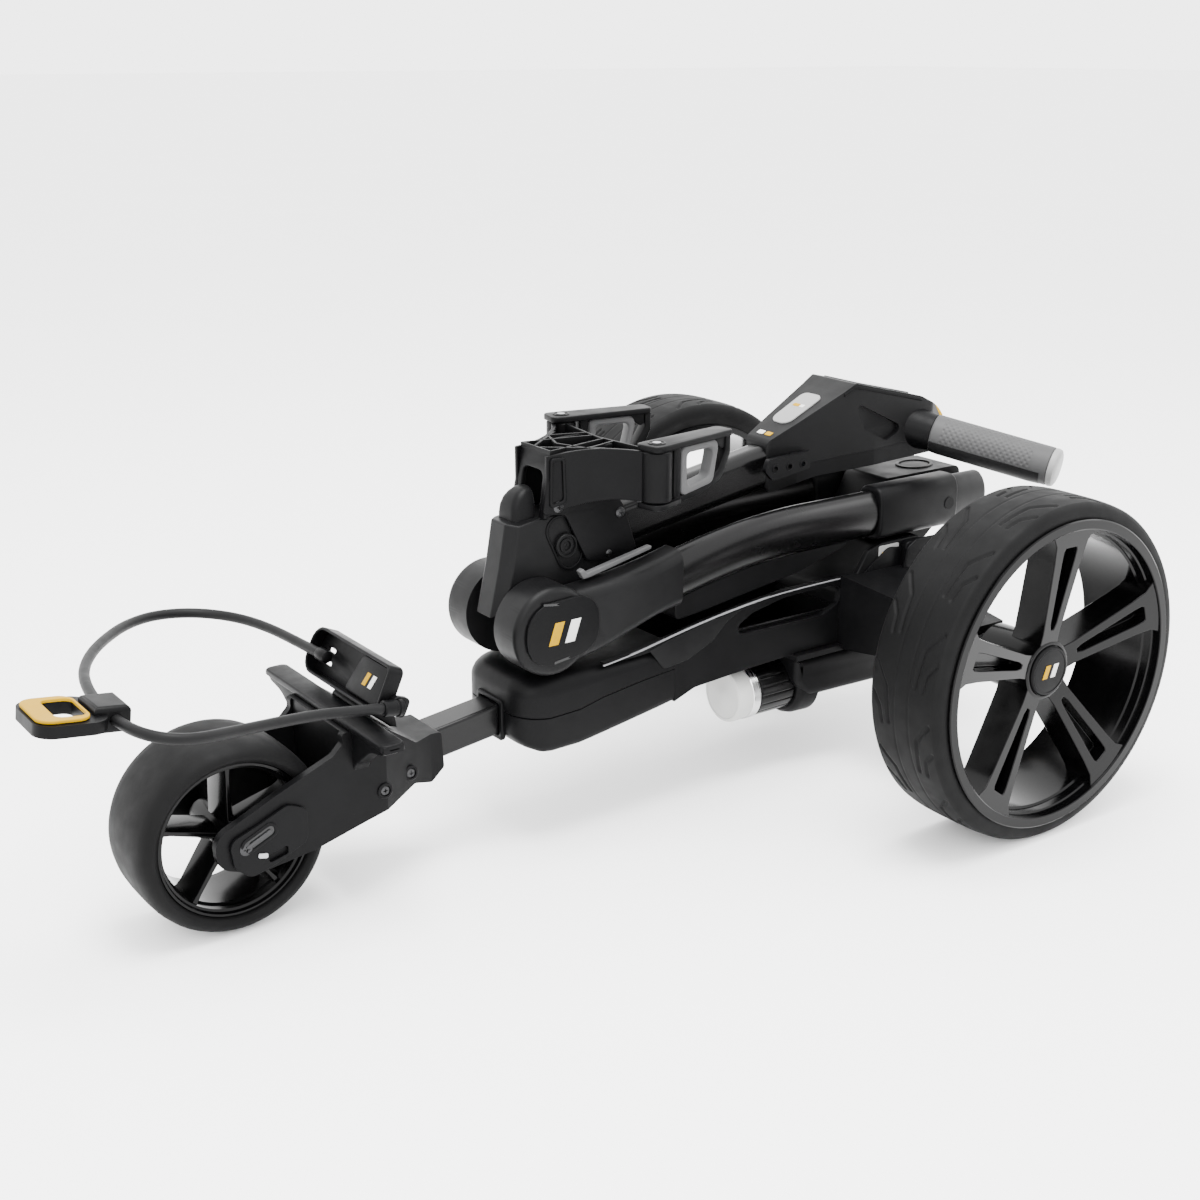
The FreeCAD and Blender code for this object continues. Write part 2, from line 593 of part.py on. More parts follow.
# ---------------------------------------------------------------- rear wheels
def rear_wheels():
    r, half = size("rear_radius"), size("rear_half_width")
    x, z = rear_axle
    rim = size("rear_rim_radius")
    seat = 127.0
    for side, label in ((1, "left"), (-1, "right")):
        y = side * size("rear_wheel_y")
        tyre = [(-half + 2, seat + 0.2), (-half, rim + 3, 5), (-half + 6, r, 9), (half - 6, r, 9),
                (half, rim + 3, 5), (half - 2, seat + 0.2)]
        solid_node("rear_tyre_" + label, revolved(tyre, x, z, y))
        # the rim's outer face is dished: its hub stands in from its edge
        barrel = [(-38, 121), (-38, seat), (39.2, seat), (39.2, rim, 0.5), (41.7, rim - 1.5, 1),
                  (41.7, 126, 1), (36, 121)]
        spoke_face = [(-20, 0), (24, 0), (24, 26), (38.5, 123), (12, 123), (-6, 26)]
        if side < 0:
            barrel = [(-u, *rest) for u, *rest in barrel]
            spoke_face = [(-u, *rest) for u, *rest in spoke_face]
        ring = revolved(barrel, x, z, y)
        dish = revolved(spoke_face, x, z, y)
        inner, outer = sorted((y - side * 36, y + side * 24))
        hub = along_y(26, x, z, inner, outer)
        axle_space = along_y(size("axle_radius"), x, z, -400, 400)
        solids = [ring, hub.cut(axle_space)]
        for index in range(5):
            for lean in (-1, 1):
                blade_plan = [(12, lean * 6 - 5), (122.5, lean * 8 - 4.2), (122.5, lean * 8 + 4.2),
                              (12, lean * 6 + 5)]
                blade = side_prism(blade_plan, y - 60, y + 60)
                blade.rotate(V(0, 0, 0), V(0, 1, 0), -(18 + 72 * index))
                blade.translate(V(x, 0, z))
                solids.append(blade.common(dish).cut([ring, hub]))
        solid_node("rear_rim_" + label, Part.makeCompound(solids))
    caps = []
    for side in (1, -1):
        low, high = sorted((side * (size("rear_wheel_y") + 24.1), side * (size("rear_wheel_y") + 27)))
        caps.append(along_y(22, x, z, low, high))
    solid_node("hub_caps", Part.makeCompound(caps))
    reach = size("rear_wheel_y") + 24
    solid_node("drive_axle", along_y(size("axle_radius"), x, z, -reach, reach))
    bearings = []
    for side in (1, -1):
        low, high = sorted((side * 184.0, side * size("beam_end")))
        ring = along_y(size("axle_radius") + 7.0, x, z, low, high)
        bearings.append(ring.cut(along_y(size("axle_radius") + size("fit_gap"), x, z, -300, 300)))
    solid_node("axle_bearings", Part.makeCompound(bearings))


# ---------------------------------------------------------------- folding frame
TUBE_BEND_START = V(-83.2, 0, 225.6)
TUBE_BEND_MIDDLE = V(-144.3, 0, 234.9)
TUBE_BEND_END = V(-206.0, 0, 238.0)


def tube_sweep(y, half_width, half_height, start_x, end_x):
    """Oval tube: straight out of the elbow, bent level, then straight to the rear."""
    slope = math.radians(11.46)
    start = V(start_x, y, TUBE_BEND_START.z + (TUBE_BEND_START.x - start_x) * math.tan(slope))
    lift = V(0, y, 0)
    end = V(end_x, y, TUBE_BEND_END.z)
    bend = Part.Arc(TUBE_BEND_START + lift, TUBE_BEND_MIDDLE + lift, TUBE_BEND_END + lift)
    path = Part.Wire([Part.LineSegment(start, TUBE_BEND_START + lift).toShape(), bend.toShape(),
                      Part.LineSegment(TUBE_BEND_END + lift, end).toShape()])
    heading = (TUBE_BEND_START + lift - start).normalize()
    up = V(0, 1, 0).cross(heading)
    if up.z < 0:
        up = up * -1
    oval = Part.Ellipse(start + up * half_height, start + V(0, half_width, 0), start)
    return path.makePipeShell([Part.Wire(oval.toShape())], True, False)


def main_tubes():
    wall = size("tube_wall")
    pin = along_y(size("hinge_pin_radius") + size("fit_gap"), *rear_hinge, -200, 200)
    for side, label in ((1, "left"), (-1, "right")):
        y = side * size("tube_y")
        outer = tube_sweep(y, size("tube_half_width"), size("tube_half_height"), -6, -430)
        inner = tube_sweep(y, size("tube_half_width") - wall, size("tube_half_height") - wall, -6.01, -428)
        solid_node("main_tube_" + label, outer.cut(inner).cut(pin))


def upright_section(x, low, high, bottom, top, radius):
    """Rounded rectangle across the trolley at one X, as a wire for lofts."""
    points = [(low, bottom, radius), (high, bottom, radius), (high, top, radius), (low, top, radius)]
    edges = [edge.toShape() for edge in outline_edges(points)]
    wire = Part.Wire(Part.__sortEdges__(edges))
    wire.transformShape(FreeCAD.Matrix(0, 0, 1, x, 1, 0, 0, 0, 0, 1, 0, 0, 0, 0, 0, 1))
    return wire


# an elbow's neck, from the drum to where the tube leaves it: x, bottom, top, inner and outer |y|
NECK_SECTIONS = [(64, 163, 226, 23, 55), (20, 172, 229.5, 24, 58), (-12, 184, 235, 26, 60.5),
                 (-53, 194, 245, 27.5, 61)]


def elbows():
    """Hinge mouldings at the front of the main tubes."""
    hx, hz = mid_hinge
    inner, outer = size("elbow_inner"), size("elbow_outer")
    bore = along_y(size("hinge_pin_radius") + size("fit_gap"), hx, hz, -200, 200)
    covers = []
    for side, label in ((1, "left"), (-1, "right")):
        low, high = sorted((side * inner, side * outer))
        drum = along_y(size("elbow_radius"), hx, hz, low, high)
        drum = drum.makeFillet(7, [edge for edge in drum.Edges if on_side(side * outer)(edge)])
        sections = []
        for x, bottom, top, near, far in NECK_SECTIONS:
            low, high = sorted((side * near, side * far))
            sections.append(upright_section(x, low, high, bottom, top, 11))
        neck = Part.makeLoft(sections, True, False)
        tube = tube_sweep(side * size("tube_y"), size("tube_half_width"), size("tube_half_height"), -6, -200)
        shape = drum.fuse(neck).cut(tube).cut(bore)
        solid_node("elbow_" + label, shape.removeSplitter())
        low, high = sorted((side * (outer + 0.1), side * (outer + 2.6)))
        outline = [(hx + 30, hz + 26, 25.5), (hx - 42, hz + 30, 22), (hx - 42, hz - 20, 22),
                   (hx + 30, hz - 31, 25.5)]
        covers.append(side_prism(outline, low, high).cut(shape))
    solid_node("elbow_covers", Part.makeCompound(covers))
    solid_node("mid_hinge_pin", along_y(size("hinge_pin_radius"), hx, hz, -outer, outer))


def collars():
    """Clamps on the main tubes that turn on the rear hinge pin."""
    shapes = []
    pin = along_y(size("hinge_pin_radius") + size("fit_gap"), *rear_hinge, -200, 200)
    for side in (1, -1):
        low, high = sorted((side * 28.5, side * 61.5))
        block = Part.makeLoft([upright_section(x, low, high, 213.5, 264, 13) for x in (-286, -387)], True)
        tube = tube_sweep(side * size("tube_y"), size("tube_half_width"), size("tube_half_height"), -6, -430)
        shapes.append(block.cut(tube).cut(pin))
    solid_node("rear_collars", Part.makeCompound(shapes))


def belly_cover():
    """Cover under the twin tubes."""
    outline = [(-58, 177, 4), (-84, 179.5, 30), (-141, 188, 60), (-201, 196, 60), (-252, 210, 8),
               (-262, 215.5, 1), (-206, 215.2), (-144, 212), (-84, 202.3), (-56, 196)]
    side_slab("frame_belly_cover", outline, "-45.5", "45.5")


def buffers():
    """Pale pads on the elbows that the folded bag bracket rests over."""
    shapes = []
    for side in (1, -1):
        low, high = sorted((side * 27.0, side * 41.0))
        shapes.append(side_prism([(34, 231.5, 1), (20, 230.5, 5), (-16, 237, 8), (-34, 242.5, 1),
                                  (-34, 245, 1), (-16, 239.5, 8), (20, 233, 5), (34, 234, 1)], low, high))
    solid_node("elbow_buffers", Part.makeCompound(shapes))


def rear_hinge_parts():
    """Block on the rear housing that carries the frame's hinge pin."""
    outline = [(-300, 206.5), (-300, 222, 8), (-322, 262, 10), (-425, 262, 8), (-425, 232, 8), (-352, 170),
               (-338.2, 150), (-338.2, 200)]
    body = side_slab("rear_hinge_block", outline, "-26", "26")
    side_bore(body, rear_hinge, "Sizes.hinge_pin_radius")
    side_cut(body, [[(-395, 222, 6), (-345, 222, 6), (-345, 180, 6), (-352, 190, 6)]], "-20", "20")
    solid_node("rear_hinge_pin", along_y(size("hinge_pin_radius"), *rear_hinge, -62, 62))


# ---------------------------------------------------------------- folding handle
def knuckle():
    """Moulding between the elbows that carries the bag bracket and the stem."""
    hx, hz = mid_hinge
    outline = [(hx + 10, hz + 28), (hx + 35, hz + 6), (101, 244, 30), (94.5, 281, 2), (62, 284, 3),
               (10.6, 284, 3), (2.4, 235, 4), (40, 216, 12)]
    body = side_slab("knuckle_arm", outline, "-Sizes.knuckle_half_width", "Sizes.knuckle_half_width")
    doc.recompute()
    barrel = new_sketch(body, "XZ_Plane", "-Sizes.knuckle_half_width")
    draw_circle(barrel, (hx, hz), "Sizes.elbow_radius - 2")
    add_pad(body, barrel, "2 * Sizes.knuckle_half_width")
    doc.recompute()
    side_bore(body, mid_hinge, "Sizes.hinge_pin_radius + Sizes.fit_gap", "-60", "60")
    side_cut(body, [[(66, 262), (88, 262), (88, 300), (66, 300)]], "-14.3", "14.3")
    button = [(66.3, 266.5), (87.7, 266.5), (86, 296, 6), (76, 308, 6), (66.3, 308, 2)]
    side_slab("release_button", button, "-14", "14")


def stem():
    """Oval tube from the knuckle back to the console."""
    sketch_centre = V(5.2, 0, 257.2)
    body = new_body("stem_tube")
    sketch = new_sketch(body, "YZ_Plane")
    half_y, half_z = size("stem_half_width"), size("stem_half_height")
    points = [(-half_y, -half_z, 10), (half_y, -half_z, 10), (half_y, half_z, 10), (-half_y, half_z, 10)]
    draw(sketch, points)
    pad = add_pad(body, sketch, "196")
    pad.Reversed = True
    body.Placement = FreeCAD.Placement(sketch_centre, FreeCAD.Rotation(V(0, 1, 0), 9.5))


def support_bracket():
    """Upper bag bracket: two cheeks that spread to the wing hinges, tied by top ribs."""
    inner, outer = size("bracket_inner"), size("bracket_outer")
    hinge_x, hinge_y = size("wing_hinge_x"), size("wing_hinge_y")
    shapes = []
    cheek_view = [(66, 288, 3), (61, 312), (54, 338, 2), (-4, 343, 2), (-4, 300, 4), (-16, 284, 6),
                  (-30, 243, 3), (-8, 236, 4), (22, 240, 6), (44, 286, 8), (58, 286, 3)]
    for side in (1, -1):
        low, high = sorted((side * inner, side * outer))
        cheek = side_prism(cheek_view, low, high)
        # flared wall from the cheek out to the hinge barrel
        plan = [V(40, side * inner, 0), V(20, side * 26, 0), V(-2, side * 52, 0),
                V(hinge_x + 6, side * 76, 0), V(hinge_x - 2, side * 74, 0), V(-12, side * 52, 0),
                V(8, side * 26, 0), V(10, side * inner, 0)]
        wall = Part.Face(Part.makePolygon(plan + plan[:1])).extrude(V(0, 0, 42.6))
        wall.translate(V(0, 0, 297.2))
        barrel = Part.makeCylinder(13, 43, V(hinge_x, side * hinge_y, 297))
        shapes += [cheek, wall, barrel]
    top = Part.makeBox(6, 2 * inner + 2, 12, V(48, -inner - 1, 325))
    back = Part.makeBox(6, 2 * inner + 2, 40, V(-4, -inner - 1, 300))
    shape = shapes[0].multiFuse(shapes[1:] + [top, back])
    for side in (1, -1):
        pin = Part.makeCylinder(size("wing_pin_radius"), 80, V(hinge_x, side * hinge_y, 280))
        shape = shape.cut(pin)
    solid_node("support_bracket", shape.removeSplitter())
    pins = [Part.makeCylinder(size("wing_pin_radius"), 56, V(hinge_x, y, 290.5)) for y in (hinge_y, -hinge_y)]
    solid_node("wing_pins", Part.makeCompound(pins))


def wings():
    """Folding wings of the upper bag support, each with a soft pad."""
    hinge_x, hinge_y = size("wing_hinge_x"), size("wing_hinge_y")
    for side, label in ((1, "left"), (-1, "right")):
        top = Part.makeBox(86, 20, 5, V(-86, -10, 340.4)).fuse(Part.makeCylinder(13, 5, V(0, 0, 340.4)))
        low = Part.makeBox(78, 12, 5, V(-78, -6, 291.5)).fuse(Part.makeCylinder(13, 5, V(0, 0, 291.5)))
        spine = Part.makeBox(7, 14, 54, V(-86, -7, 291.5))
        post = Part.makeBox(8, 12, 46, V(-24, -6, 295))
        shape = top.fuse(low).fuse(spine).fuse(post)
        shape = shape.cut(Part.makeCylinder(size("wing_pin_radius") + size("fit_gap"), 80, V(0, 0, 280)))
        pad_outer = Part.makeBox(54, 13, 43.7, V(-78, -6, 296.6))
        pad_window = Part.makeBox(41, 40, 29, V(-72, -20, 303))
        pad = pad_outer.cut(pad_window)
        for piece in (shape, pad):
            piece.rotate(V(0, 0, 0), V(0, 0, 1), side * size("wing_lean"))
            piece.translate(V(hinge_x, side * hinge_y, 0))
        solid_node("wing_" + label, shape.removeSplitter())
        solid_node("wing_pad_" + label, pad)


def console():
    """Console in two shells on the rear of the stem, with its display on top."""
    outline = [(-183, 266, 6), (-183, 314, 8), (-262, 352, 20), (-276, 359.5, 4), (-357, 339.5, 10),
               (-379, 328.5, 8), (-394, 314, 6), (-394, 293, 8), (-372, 284, 10), (-235, 277, 20)]
    half_plan = [(-182, 15, 6), (-214, 21, 20), (-262, 28, 30), (-300, 33, 30), (-372, 35, 12), (-396, 24, 8)]
    body = side_prism(outline, -40, 40).common(plan_prism(half_plan, 250, 370))
    below_seam = side_prism([(-170, 286.5), (-410, 302.5), (-410, 240), (-170, 240)], -50, 50)
    above_seam = side_prism([(-170, 286.7), (-410, 302.7), (-410, 380), (-170, 380)], -50, 50)
    bore = nodes["handle_bar"].Shape
    stem_space = nodes["stem_tube"].Shape
    sleeves = [along_grip(side, 21, 20, size("grip_start") - 0.2, 17.6) for side in (1, -1)]
    tab = side_prism([(-168, 292, 4), (-178, 282, 4), (-222, 288, 2), (-222, 304, 2), (-172, 302, 3)], 26, 31)
    tab = tab.fuse(side_prism([(-206, 288), (-206, 302), (-222, 302), (-222, 290)], 10, 30))
    for x in (-180, -197):
        tab = tab.cut(along_y(2.5, x, 293, 0, 60))
    display = side_prism([(-282, 356), (-284, 358.6), (-352, 341.9), (-350, 336)], -22, 22)
    lower = body.common(below_seam).fuse(sleeves).fuse(tab)
    lower = lower.cut([bore, stem_space, dial_space()])
    upper = body.common(above_seam).cut(sleeves + [tab, bore, stem_space, dial_space(), display])
    solid_node("console_lower_shell", lower.removeSplitter())
    solid_node("console_upper_shell", upper.removeSplitter())
    solid_node("display_screen", display)


def along_grip(side, radius, low, high, end_radius=None):
    """Round bar or cone along one half of the swept handle, between two distances from its middle."""
    heading = V(-size("grip_back"), side * size("grip_out"), -size("grip_drop")).normalize()
    start = V(size("bar_x"), 0, size("bar_z")) + heading * low
    if end_radius:
        return Part.makeCone(radius, end_radius, high - low, start, heading)
    return Part.makeCylinder(radius, high - low, start, heading)


def handle_bar():
    """Bar with its two halves swept back and down, a grip and an end cap on each."""
    start, end = size("grip_start"), size("grip_end")
    radius = size("bar_radius")
    halves = [along_grip(side, radius, 0, end) for side in (1, -1)]
    knee = Part.makeSphere(radius, V(size("bar_x"), 0, size("bar_z")))
    solid_node("handle_bar", halves[0].fuse([halves[1], knee]).removeSplitter())
    caps = []
    for side, label in ((1, "left"), (-1, "right")):
        grip = along_grip(side, size("grip_radius"), start, end)
        solid_node("grip_" + label, grip.cut(along_grip(side, radius, 0, end + 10)))
        cap = along_grip(side, size("grip_radius"), end + 0.1, end + 7)
        circles = [edge for edge in cap.Edges if len(edge.Vertexes) == 1]
        far_edge = max(circles, key=lambda edge: abs(edge.CenterOfMass.y))
        caps.append(cap.makeFillet(4, [far_edge]))
    solid_node("grip_caps", Part.makeCompound(caps))


DIAL_PLACE = FreeCAD.Placement(V(-395, 0, 304), FreeCAD.Rotation(V(0, 1, 0), -72))


def dial_space():
    """Room in the console for the dial, its button and the button's travel."""
    ring_room = Part.makeCylinder(size("dial_radius") + 0.5, 40, V(0, 0, 2.5))
    button_room = Part.makeCylinder(11.3, 20, V(0, 0, -0.5))
    stem_room = Part.makeCylinder(5 + size("fit_gap"), 20, V(0, 0, -10.5))
    space = ring_room.fuse([button_room, stem_room])
    space.Placement = DIAL_PLACE
    return space


def speed_dial():
    """Press button with a dial ring round it, on the console's rear end."""
    button = Part.makeCylinder(11, 14, V(0, 0, 2)).fuse(Part.makeCylinder(5, 12, V(0, 0, -8)))
    ring = Part.makeCylinder(size("dial_radius"), 10, V(0, 0, 3))
    ring = ring.cut(Part.makeCylinder(11 + size("fit_gap"), 30, V(0, 0, -5)))
    for label, shape in (("dial_button", button), ("speed_dial", ring)):
        shape.Placement = DIAL_PLACE
        solid_node(label, shape)


front_wheel()
front_fork()
front_tube()
front_adjuster()
bag_base()
lower_bracket()
strap()
strap_anchors()
nose()
frame_rails()
battery_tray()
rear_housing()
gearbox_cover()
motor()
gear_train()
rear_wheels()
main_tubes()
elbows()
collars()
belly_cover()
buffers()
rear_hinge_parts()
knuckle()
stem()
support_bracket()
wings()
doc.recompute()
handle_bar()
console()
speed_dial()
doc.recompute()

# ---------------------------------------------------------------- checks and export
for thing in doc.Objects:
    if "Invalid" in thing.State or "Error" in thing.State:
        raise RuntimeError("%s failed: %s" % (thing.Name, thing.State))
os.makedirs("parts", exist_ok=True)
for label, node in nodes.items():
    if node.Shape.isNull() or not node.Shape.isValid() or node.Shape.Volume < 1:
        raise RuntimeError("%s has no valid solid" % label)
    node.Shape.exportStep("parts/%s.step" % label)
    box = node.Shape.BoundBox
    print("%-22s %9.0f mm3  x %6.1f %6.1f  y %6.1f %6.1f  z %6.1f %6.1f  solids %d" % (
        label, node.Shape.Volume, box.XMin, box.XMax, box.YMin, box.YMax, box.ZMin, box.ZMax,
        len(node.Shape.Solids)))
print("%d nodes" % len(nodes))
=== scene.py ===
import json
from math import atan2, copysign, cos, degrees, pi, radians, sin, tan

import bmesh
import bpy
from mathutils import Matrix, Vector


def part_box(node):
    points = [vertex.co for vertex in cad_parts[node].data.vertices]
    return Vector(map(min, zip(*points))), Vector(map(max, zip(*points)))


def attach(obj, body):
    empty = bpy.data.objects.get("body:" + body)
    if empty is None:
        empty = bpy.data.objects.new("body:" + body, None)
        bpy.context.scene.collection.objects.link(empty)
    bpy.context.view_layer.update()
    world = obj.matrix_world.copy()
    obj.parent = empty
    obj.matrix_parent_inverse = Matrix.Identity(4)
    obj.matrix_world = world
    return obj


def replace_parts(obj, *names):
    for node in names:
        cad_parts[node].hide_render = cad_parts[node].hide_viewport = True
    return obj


# Looks of a folded electric golf trolley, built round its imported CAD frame.
# Points and sizes are written in millimetres and turned into metres where a mesh is made.
# +X runs forward to the front wheel, +Y to the trolley's left, +Z up.

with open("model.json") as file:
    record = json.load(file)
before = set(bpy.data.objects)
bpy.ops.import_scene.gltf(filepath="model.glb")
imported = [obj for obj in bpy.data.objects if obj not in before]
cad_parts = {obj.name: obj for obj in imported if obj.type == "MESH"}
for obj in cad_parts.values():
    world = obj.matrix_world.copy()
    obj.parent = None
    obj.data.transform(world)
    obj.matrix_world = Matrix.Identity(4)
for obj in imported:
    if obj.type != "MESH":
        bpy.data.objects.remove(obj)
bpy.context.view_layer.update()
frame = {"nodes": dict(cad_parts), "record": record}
nodes = frame["nodes"]
body_of_node = {n: b for b, members in frame["record"]["behaviour"]["bodies"].items() for n in members}
slot_of_node = {s["node"]: s["material_slot"] for s in frame["record"]["subparts"]}
MM = 0.001
SHARP = 32.0                  # degrees between faces above which an edge stays crisp
SIDES = ((1, "left"), (-1, "right"))
FORWARD, LEFTWARD, UP = (1, 0, 0), (0, 1, 0), (0, 0, 1)
BLACK, GRAPHITE = "black_plastic", "graphite_plastic"
scene = bpy.context.scene


def middle_of(node):
    """Middle of a node's box, in millimetres."""
    low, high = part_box(node)
    return (Vector(low) + Vector(high)) / 2 / MM


def span(side, inner, outer):
    """Two distances from the middle plane as low and high y, on the side that is +1 or -1."""
    return sorted((side * inner, side * outer))


def rectangle(u0, v0, u1, v1, radius=0):
    """Corner list of a rectangle, all four corners rounded alike."""
    return [(u0, v0, radius), (u1, v0, radius), (u1, v1, radius), (u0, v1, radius)]


# ---------------- camera
camera_data = bpy.data.cameras.new("camera")
camera_data.lens = 50.59      # millimetres
camera_data.sensor_width = 36
camera = bpy.data.objects.new("camera", camera_data)
camera.location = (0.80153, 1.14473, 0.65508)
looking = Vector((-0.54872, -0.77528, -0.31280))
camera.rotation_euler = looking.to_track_quat("-Z", "Y").to_euler()
scene.collection.objects.link(camera)
scene.camera = camera


# ---------------- materials
def new_material(name):
    material = bpy.data.materials.new(name)
    material.use_nodes = True
    tree = material.node_tree
    shader = tree.nodes["Principled BSDF"]
    return material, tree, shader


def link(tree, source, target):
    tree.links.new(source, target)


def set_inputs(node, values):
    for name, value in values.items():
        node.inputs[name].default_value = value


def object_coords(tree, scale=(1, 1, 1)):
    coords = tree.nodes.new("ShaderNodeTexCoord")
    mapping = tree.nodes.new("ShaderNodeMapping")
    set_inputs(mapping, {"Scale": scale})
    link(tree, coords.outputs["Object"], mapping.inputs["Vector"])
    return mapping.outputs["Vector"]


def noise(tree, vector, scale, detail=4.0):
    texture = tree.nodes.new("ShaderNodeTexNoise")
    set_inputs(texture, {"Scale": scale, "Detail": detail})
    link(tree, vector, texture.inputs["Vector"])
    return texture.outputs["Fac"]


def spread(tree, value, low, high, start=0.0, end=1.0):
    """Value from start..end to low..high."""
    node = tree.nodes.new("ShaderNodeMapRange")
    set_inputs(node, {"From Min": start, "From Max": end, "To Min": low, "To Max": high})
    link(tree, value, node.inputs["Value"])
    return node.outputs["Result"]


def add_bump(tree, shader, height, strength, distance):
    bump = tree.nodes.new("ShaderNodeBump")
    set_inputs(bump, {"Strength": strength, "Distance": distance})
    link(tree, height, bump.inputs["Height"])
    link(tree, bump.outputs["Normal"], shader.inputs["Normal"])


def shade(tree, shader, factor, dark, light):
    """Base colour wandering between two tones."""
    mix = tree.nodes.new("ShaderNodeMix")
    mix.data_type = "RGBA"
    set_inputs(mix, {"A": (*dark, 1), "B": (*light, 1)})
    link(tree, factor, mix.inputs["Factor"])
    link(tree, mix.outputs["Result"], shader.inputs["Base Color"])


def moulded(name, tone, rough, specular=0.22, grain=900.0, depth=0.00006, strength=0.35, dust=0.25,
            wander=0.06):
    """Moulded plastic or rubber: fine grain, faint handling marks, tone and gloss that wander."""
    material, tree, shader = new_material(name)
    vector = object_coords(tree)
    wear = spread(tree, noise(tree, vector, 22.0, 6.0), 0, 1, 0.3, 0.75)
    shade(tree, shader, wear, [c * (1 - dust) for c in tone], [c * (1 + dust) for c in tone])
    gloss = spread(tree, noise(tree, vector, 60.0), rough - wander, rough + wander, 0.3, 0.7)
    link(tree, gloss, shader.inputs["Roughness"])
    set_inputs(shader, {"Specular IOR Level": specular})
    add_bump(tree, shader, noise(tree, vector, grain, 2.0), strength, depth)
    return material


def metal(name, tone, rough, stretch):
    """Drawn or brushed metal, its fine lines along the axis that is stretched least."""
    material, tree, shader = new_material(name)
    vector = object_coords(tree, stretch)
    lines = noise(tree, vector, 500.0, 3.0)
    shade(tree, shader, lines, [c * 0.88 for c in tone], [min(1.0, c * 1.1) for c in tone])
    gloss = spread(tree, lines, rough - 0.05, rough + 0.05, 0.3, 0.7)
    link(tree, gloss, shader.inputs["Roughness"])
    set_inputs(shader, {"Metallic": 1.0, "Specular IOR Level": 0.5})
    add_bump(tree, shader, lines, 0.08, 0.00002)
    return material


materials = {
    "tyre": moulded("tyre_rubber", (0.0019, 0.0019, 0.002), 0.62, 0.08, 1100, 0.00008, 0.4, 0.3),
    "rim": moulded("gloss_rim", (0.0009, 0.0009, 0.001), 0.16, 0.12, 400, 0.00001, 0.05, 0.15, 0.03),
    "black_plastic": moulded("black_plastic", (0.0016, 0.0016, 0.0018), 0.44, 0.07),
    "graphite_plastic": moulded("graphite_plastic", (0.0028, 0.0028, 0.003), 0.42, 0.088),
    "black_tube": moulded("anodised_tube", (0.001, 0.001, 0.0011), 0.26, 0.17, 1500, 0.00001, 0.04, 0.12,
                          0.015),
    "steel": metal("bright_steel", (0.32, 0.32, 0.33), 0.34, (1, 0.05, 1)),
    "silver": metal("brushed_band", (0.62, 0.62, 0.62), 0.28, (1, 0.06, 0.06)),
    "pale_plastic": moulded("pale_plastic", (0.19, 0.19, 0.188), 0.42, 0.3, 1000, 0.00004, 0.3, 0.05),
    "grip": moulded("grip_rubber", (0.040, 0.040, 0.0405), 0.55, 0.2, 700, 0.0001, 0.4, 0.08),
    "strap": moulded("strap_rubber", (0.0038, 0.0038, 0.004), 0.5, 0.1, 600, 0.00008, 0.4, 0.15),
    "yellow": moulded("yellow_plastic", (0.30, 0.172, 0.0), 0.4, 0.05, 900, 0.00004, 0.3, 0.04),
    "screen": moulded("display_glass", (0.001, 0.0012, 0.0015), 0.08, 0.3, 200, 0.00001, 0.05, 0.1),
    "pad": moulded("grey_pad", (0.052, 0.052, 0.053), 0.55, 0.2, 800, 0.00008, 0.4, 0.08),
}
dark_rubber = moulded("keel_rubber", (0.004, 0.004, 0.0042), 0.5, 0.15)
dark_steel = metal("blackened_steel", (0.034, 0.034, 0.035), 0.38, (1, 0.05, 1))
# Pale grey for the beads on the rails' rim edges: a painted highlight standing in for the light that the
# glossy black edge catches.
painted_highlight_edge = moulded("edge_painted_highlight", (0.13, 0.13, 0.135), 0.18, 0.4, 900, 0.00001, 0.1, 0.1)
white_print = moulded("white_print", (0.5, 0.5, 0.49), 0.45, 0.3, 900, 0.00002, 0.2, 0.04)
frosted = moulded("frosted_cap", (0.42, 0.42, 0.41), 0.5, 0.3, 700, 0.00004, 0.3, 0.04)


# ---------------- making pieces
def place(obj, body, slot, material=None):
    """Links a new piece, gives it its finish and lets it ride on a body."""
    if obj.name not in scene.collection.objects:
        scene.collection.objects.link(obj)
    obj.data.materials.clear()
    obj.data.materials.append(material or materials[slot])
    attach(obj, body)
    return obj


def smooth(mesh, angle=SHARP):
    """Shades a mesh smooth, apart from edges sharper than the angle."""
    for polygon in mesh.polygons:
        polygon.use_smooth = True
    mesh.set_sharp_from_angle(angle=radians(angle))


def add_bevel(obj, width, segments=2, angle=SHARP):
    modifier = obj.modifiers.new("edge", "BEVEL")
    modifier.width = width * MM
    modifier.segments = segments
    modifier.limit_method = "ANGLE"
    modifier.angle_limit = radians(angle)
    modifier.harden_normals = True


def softened(node, width, segments=2, material=None, cutters=()):
    """Copy of a node's shape with its hard edges rounded, shown in the node's place."""
    mesh = nodes[node].data.copy()
    work = bmesh.new()
    work.from_mesh(mesh)
    bmesh.ops.remove_doubles(work, verts=work.verts, dist=0.02 * MM)
    bmesh.ops.dissolve_limit(work, angle_limit=radians(1.0), verts=work.verts, edges=work.edges)
    work.to_mesh(mesh)
    work.free()
    obj = bpy.data.objects.new("soft_" + node, mesh)
    for cutter in cutters:
        carve(obj, cutter)
    smooth(obj.data)
    place(obj, body_of_node[node], slot_of_node[node], material)
    add_bevel(obj, width, segments)
    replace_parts(obj, node)
    return obj


def carve(obj, cutter):
    """Cuts a closed mesh out of an object for good."""
    tool = bpy.data.objects.new("cutter", cutter)
    for thing in (obj, tool):
        scene.collection.objects.link(thing)
    modifier = obj.modifiers.new("cut", "BOOLEAN")
    modifier.operation = "DIFFERENCE"
    modifier.solver = "EXACT"
    modifier.object = tool
    shape = obj.evaluated_get(bpy.context.evaluated_depsgraph_get())
    result = bpy.data.meshes.new_from_object(shape)
    obj.modifiers.clear()
    obj.data = result
    bpy.data.objects.remove(tool)
    scene.collection.objects.unlink(obj)


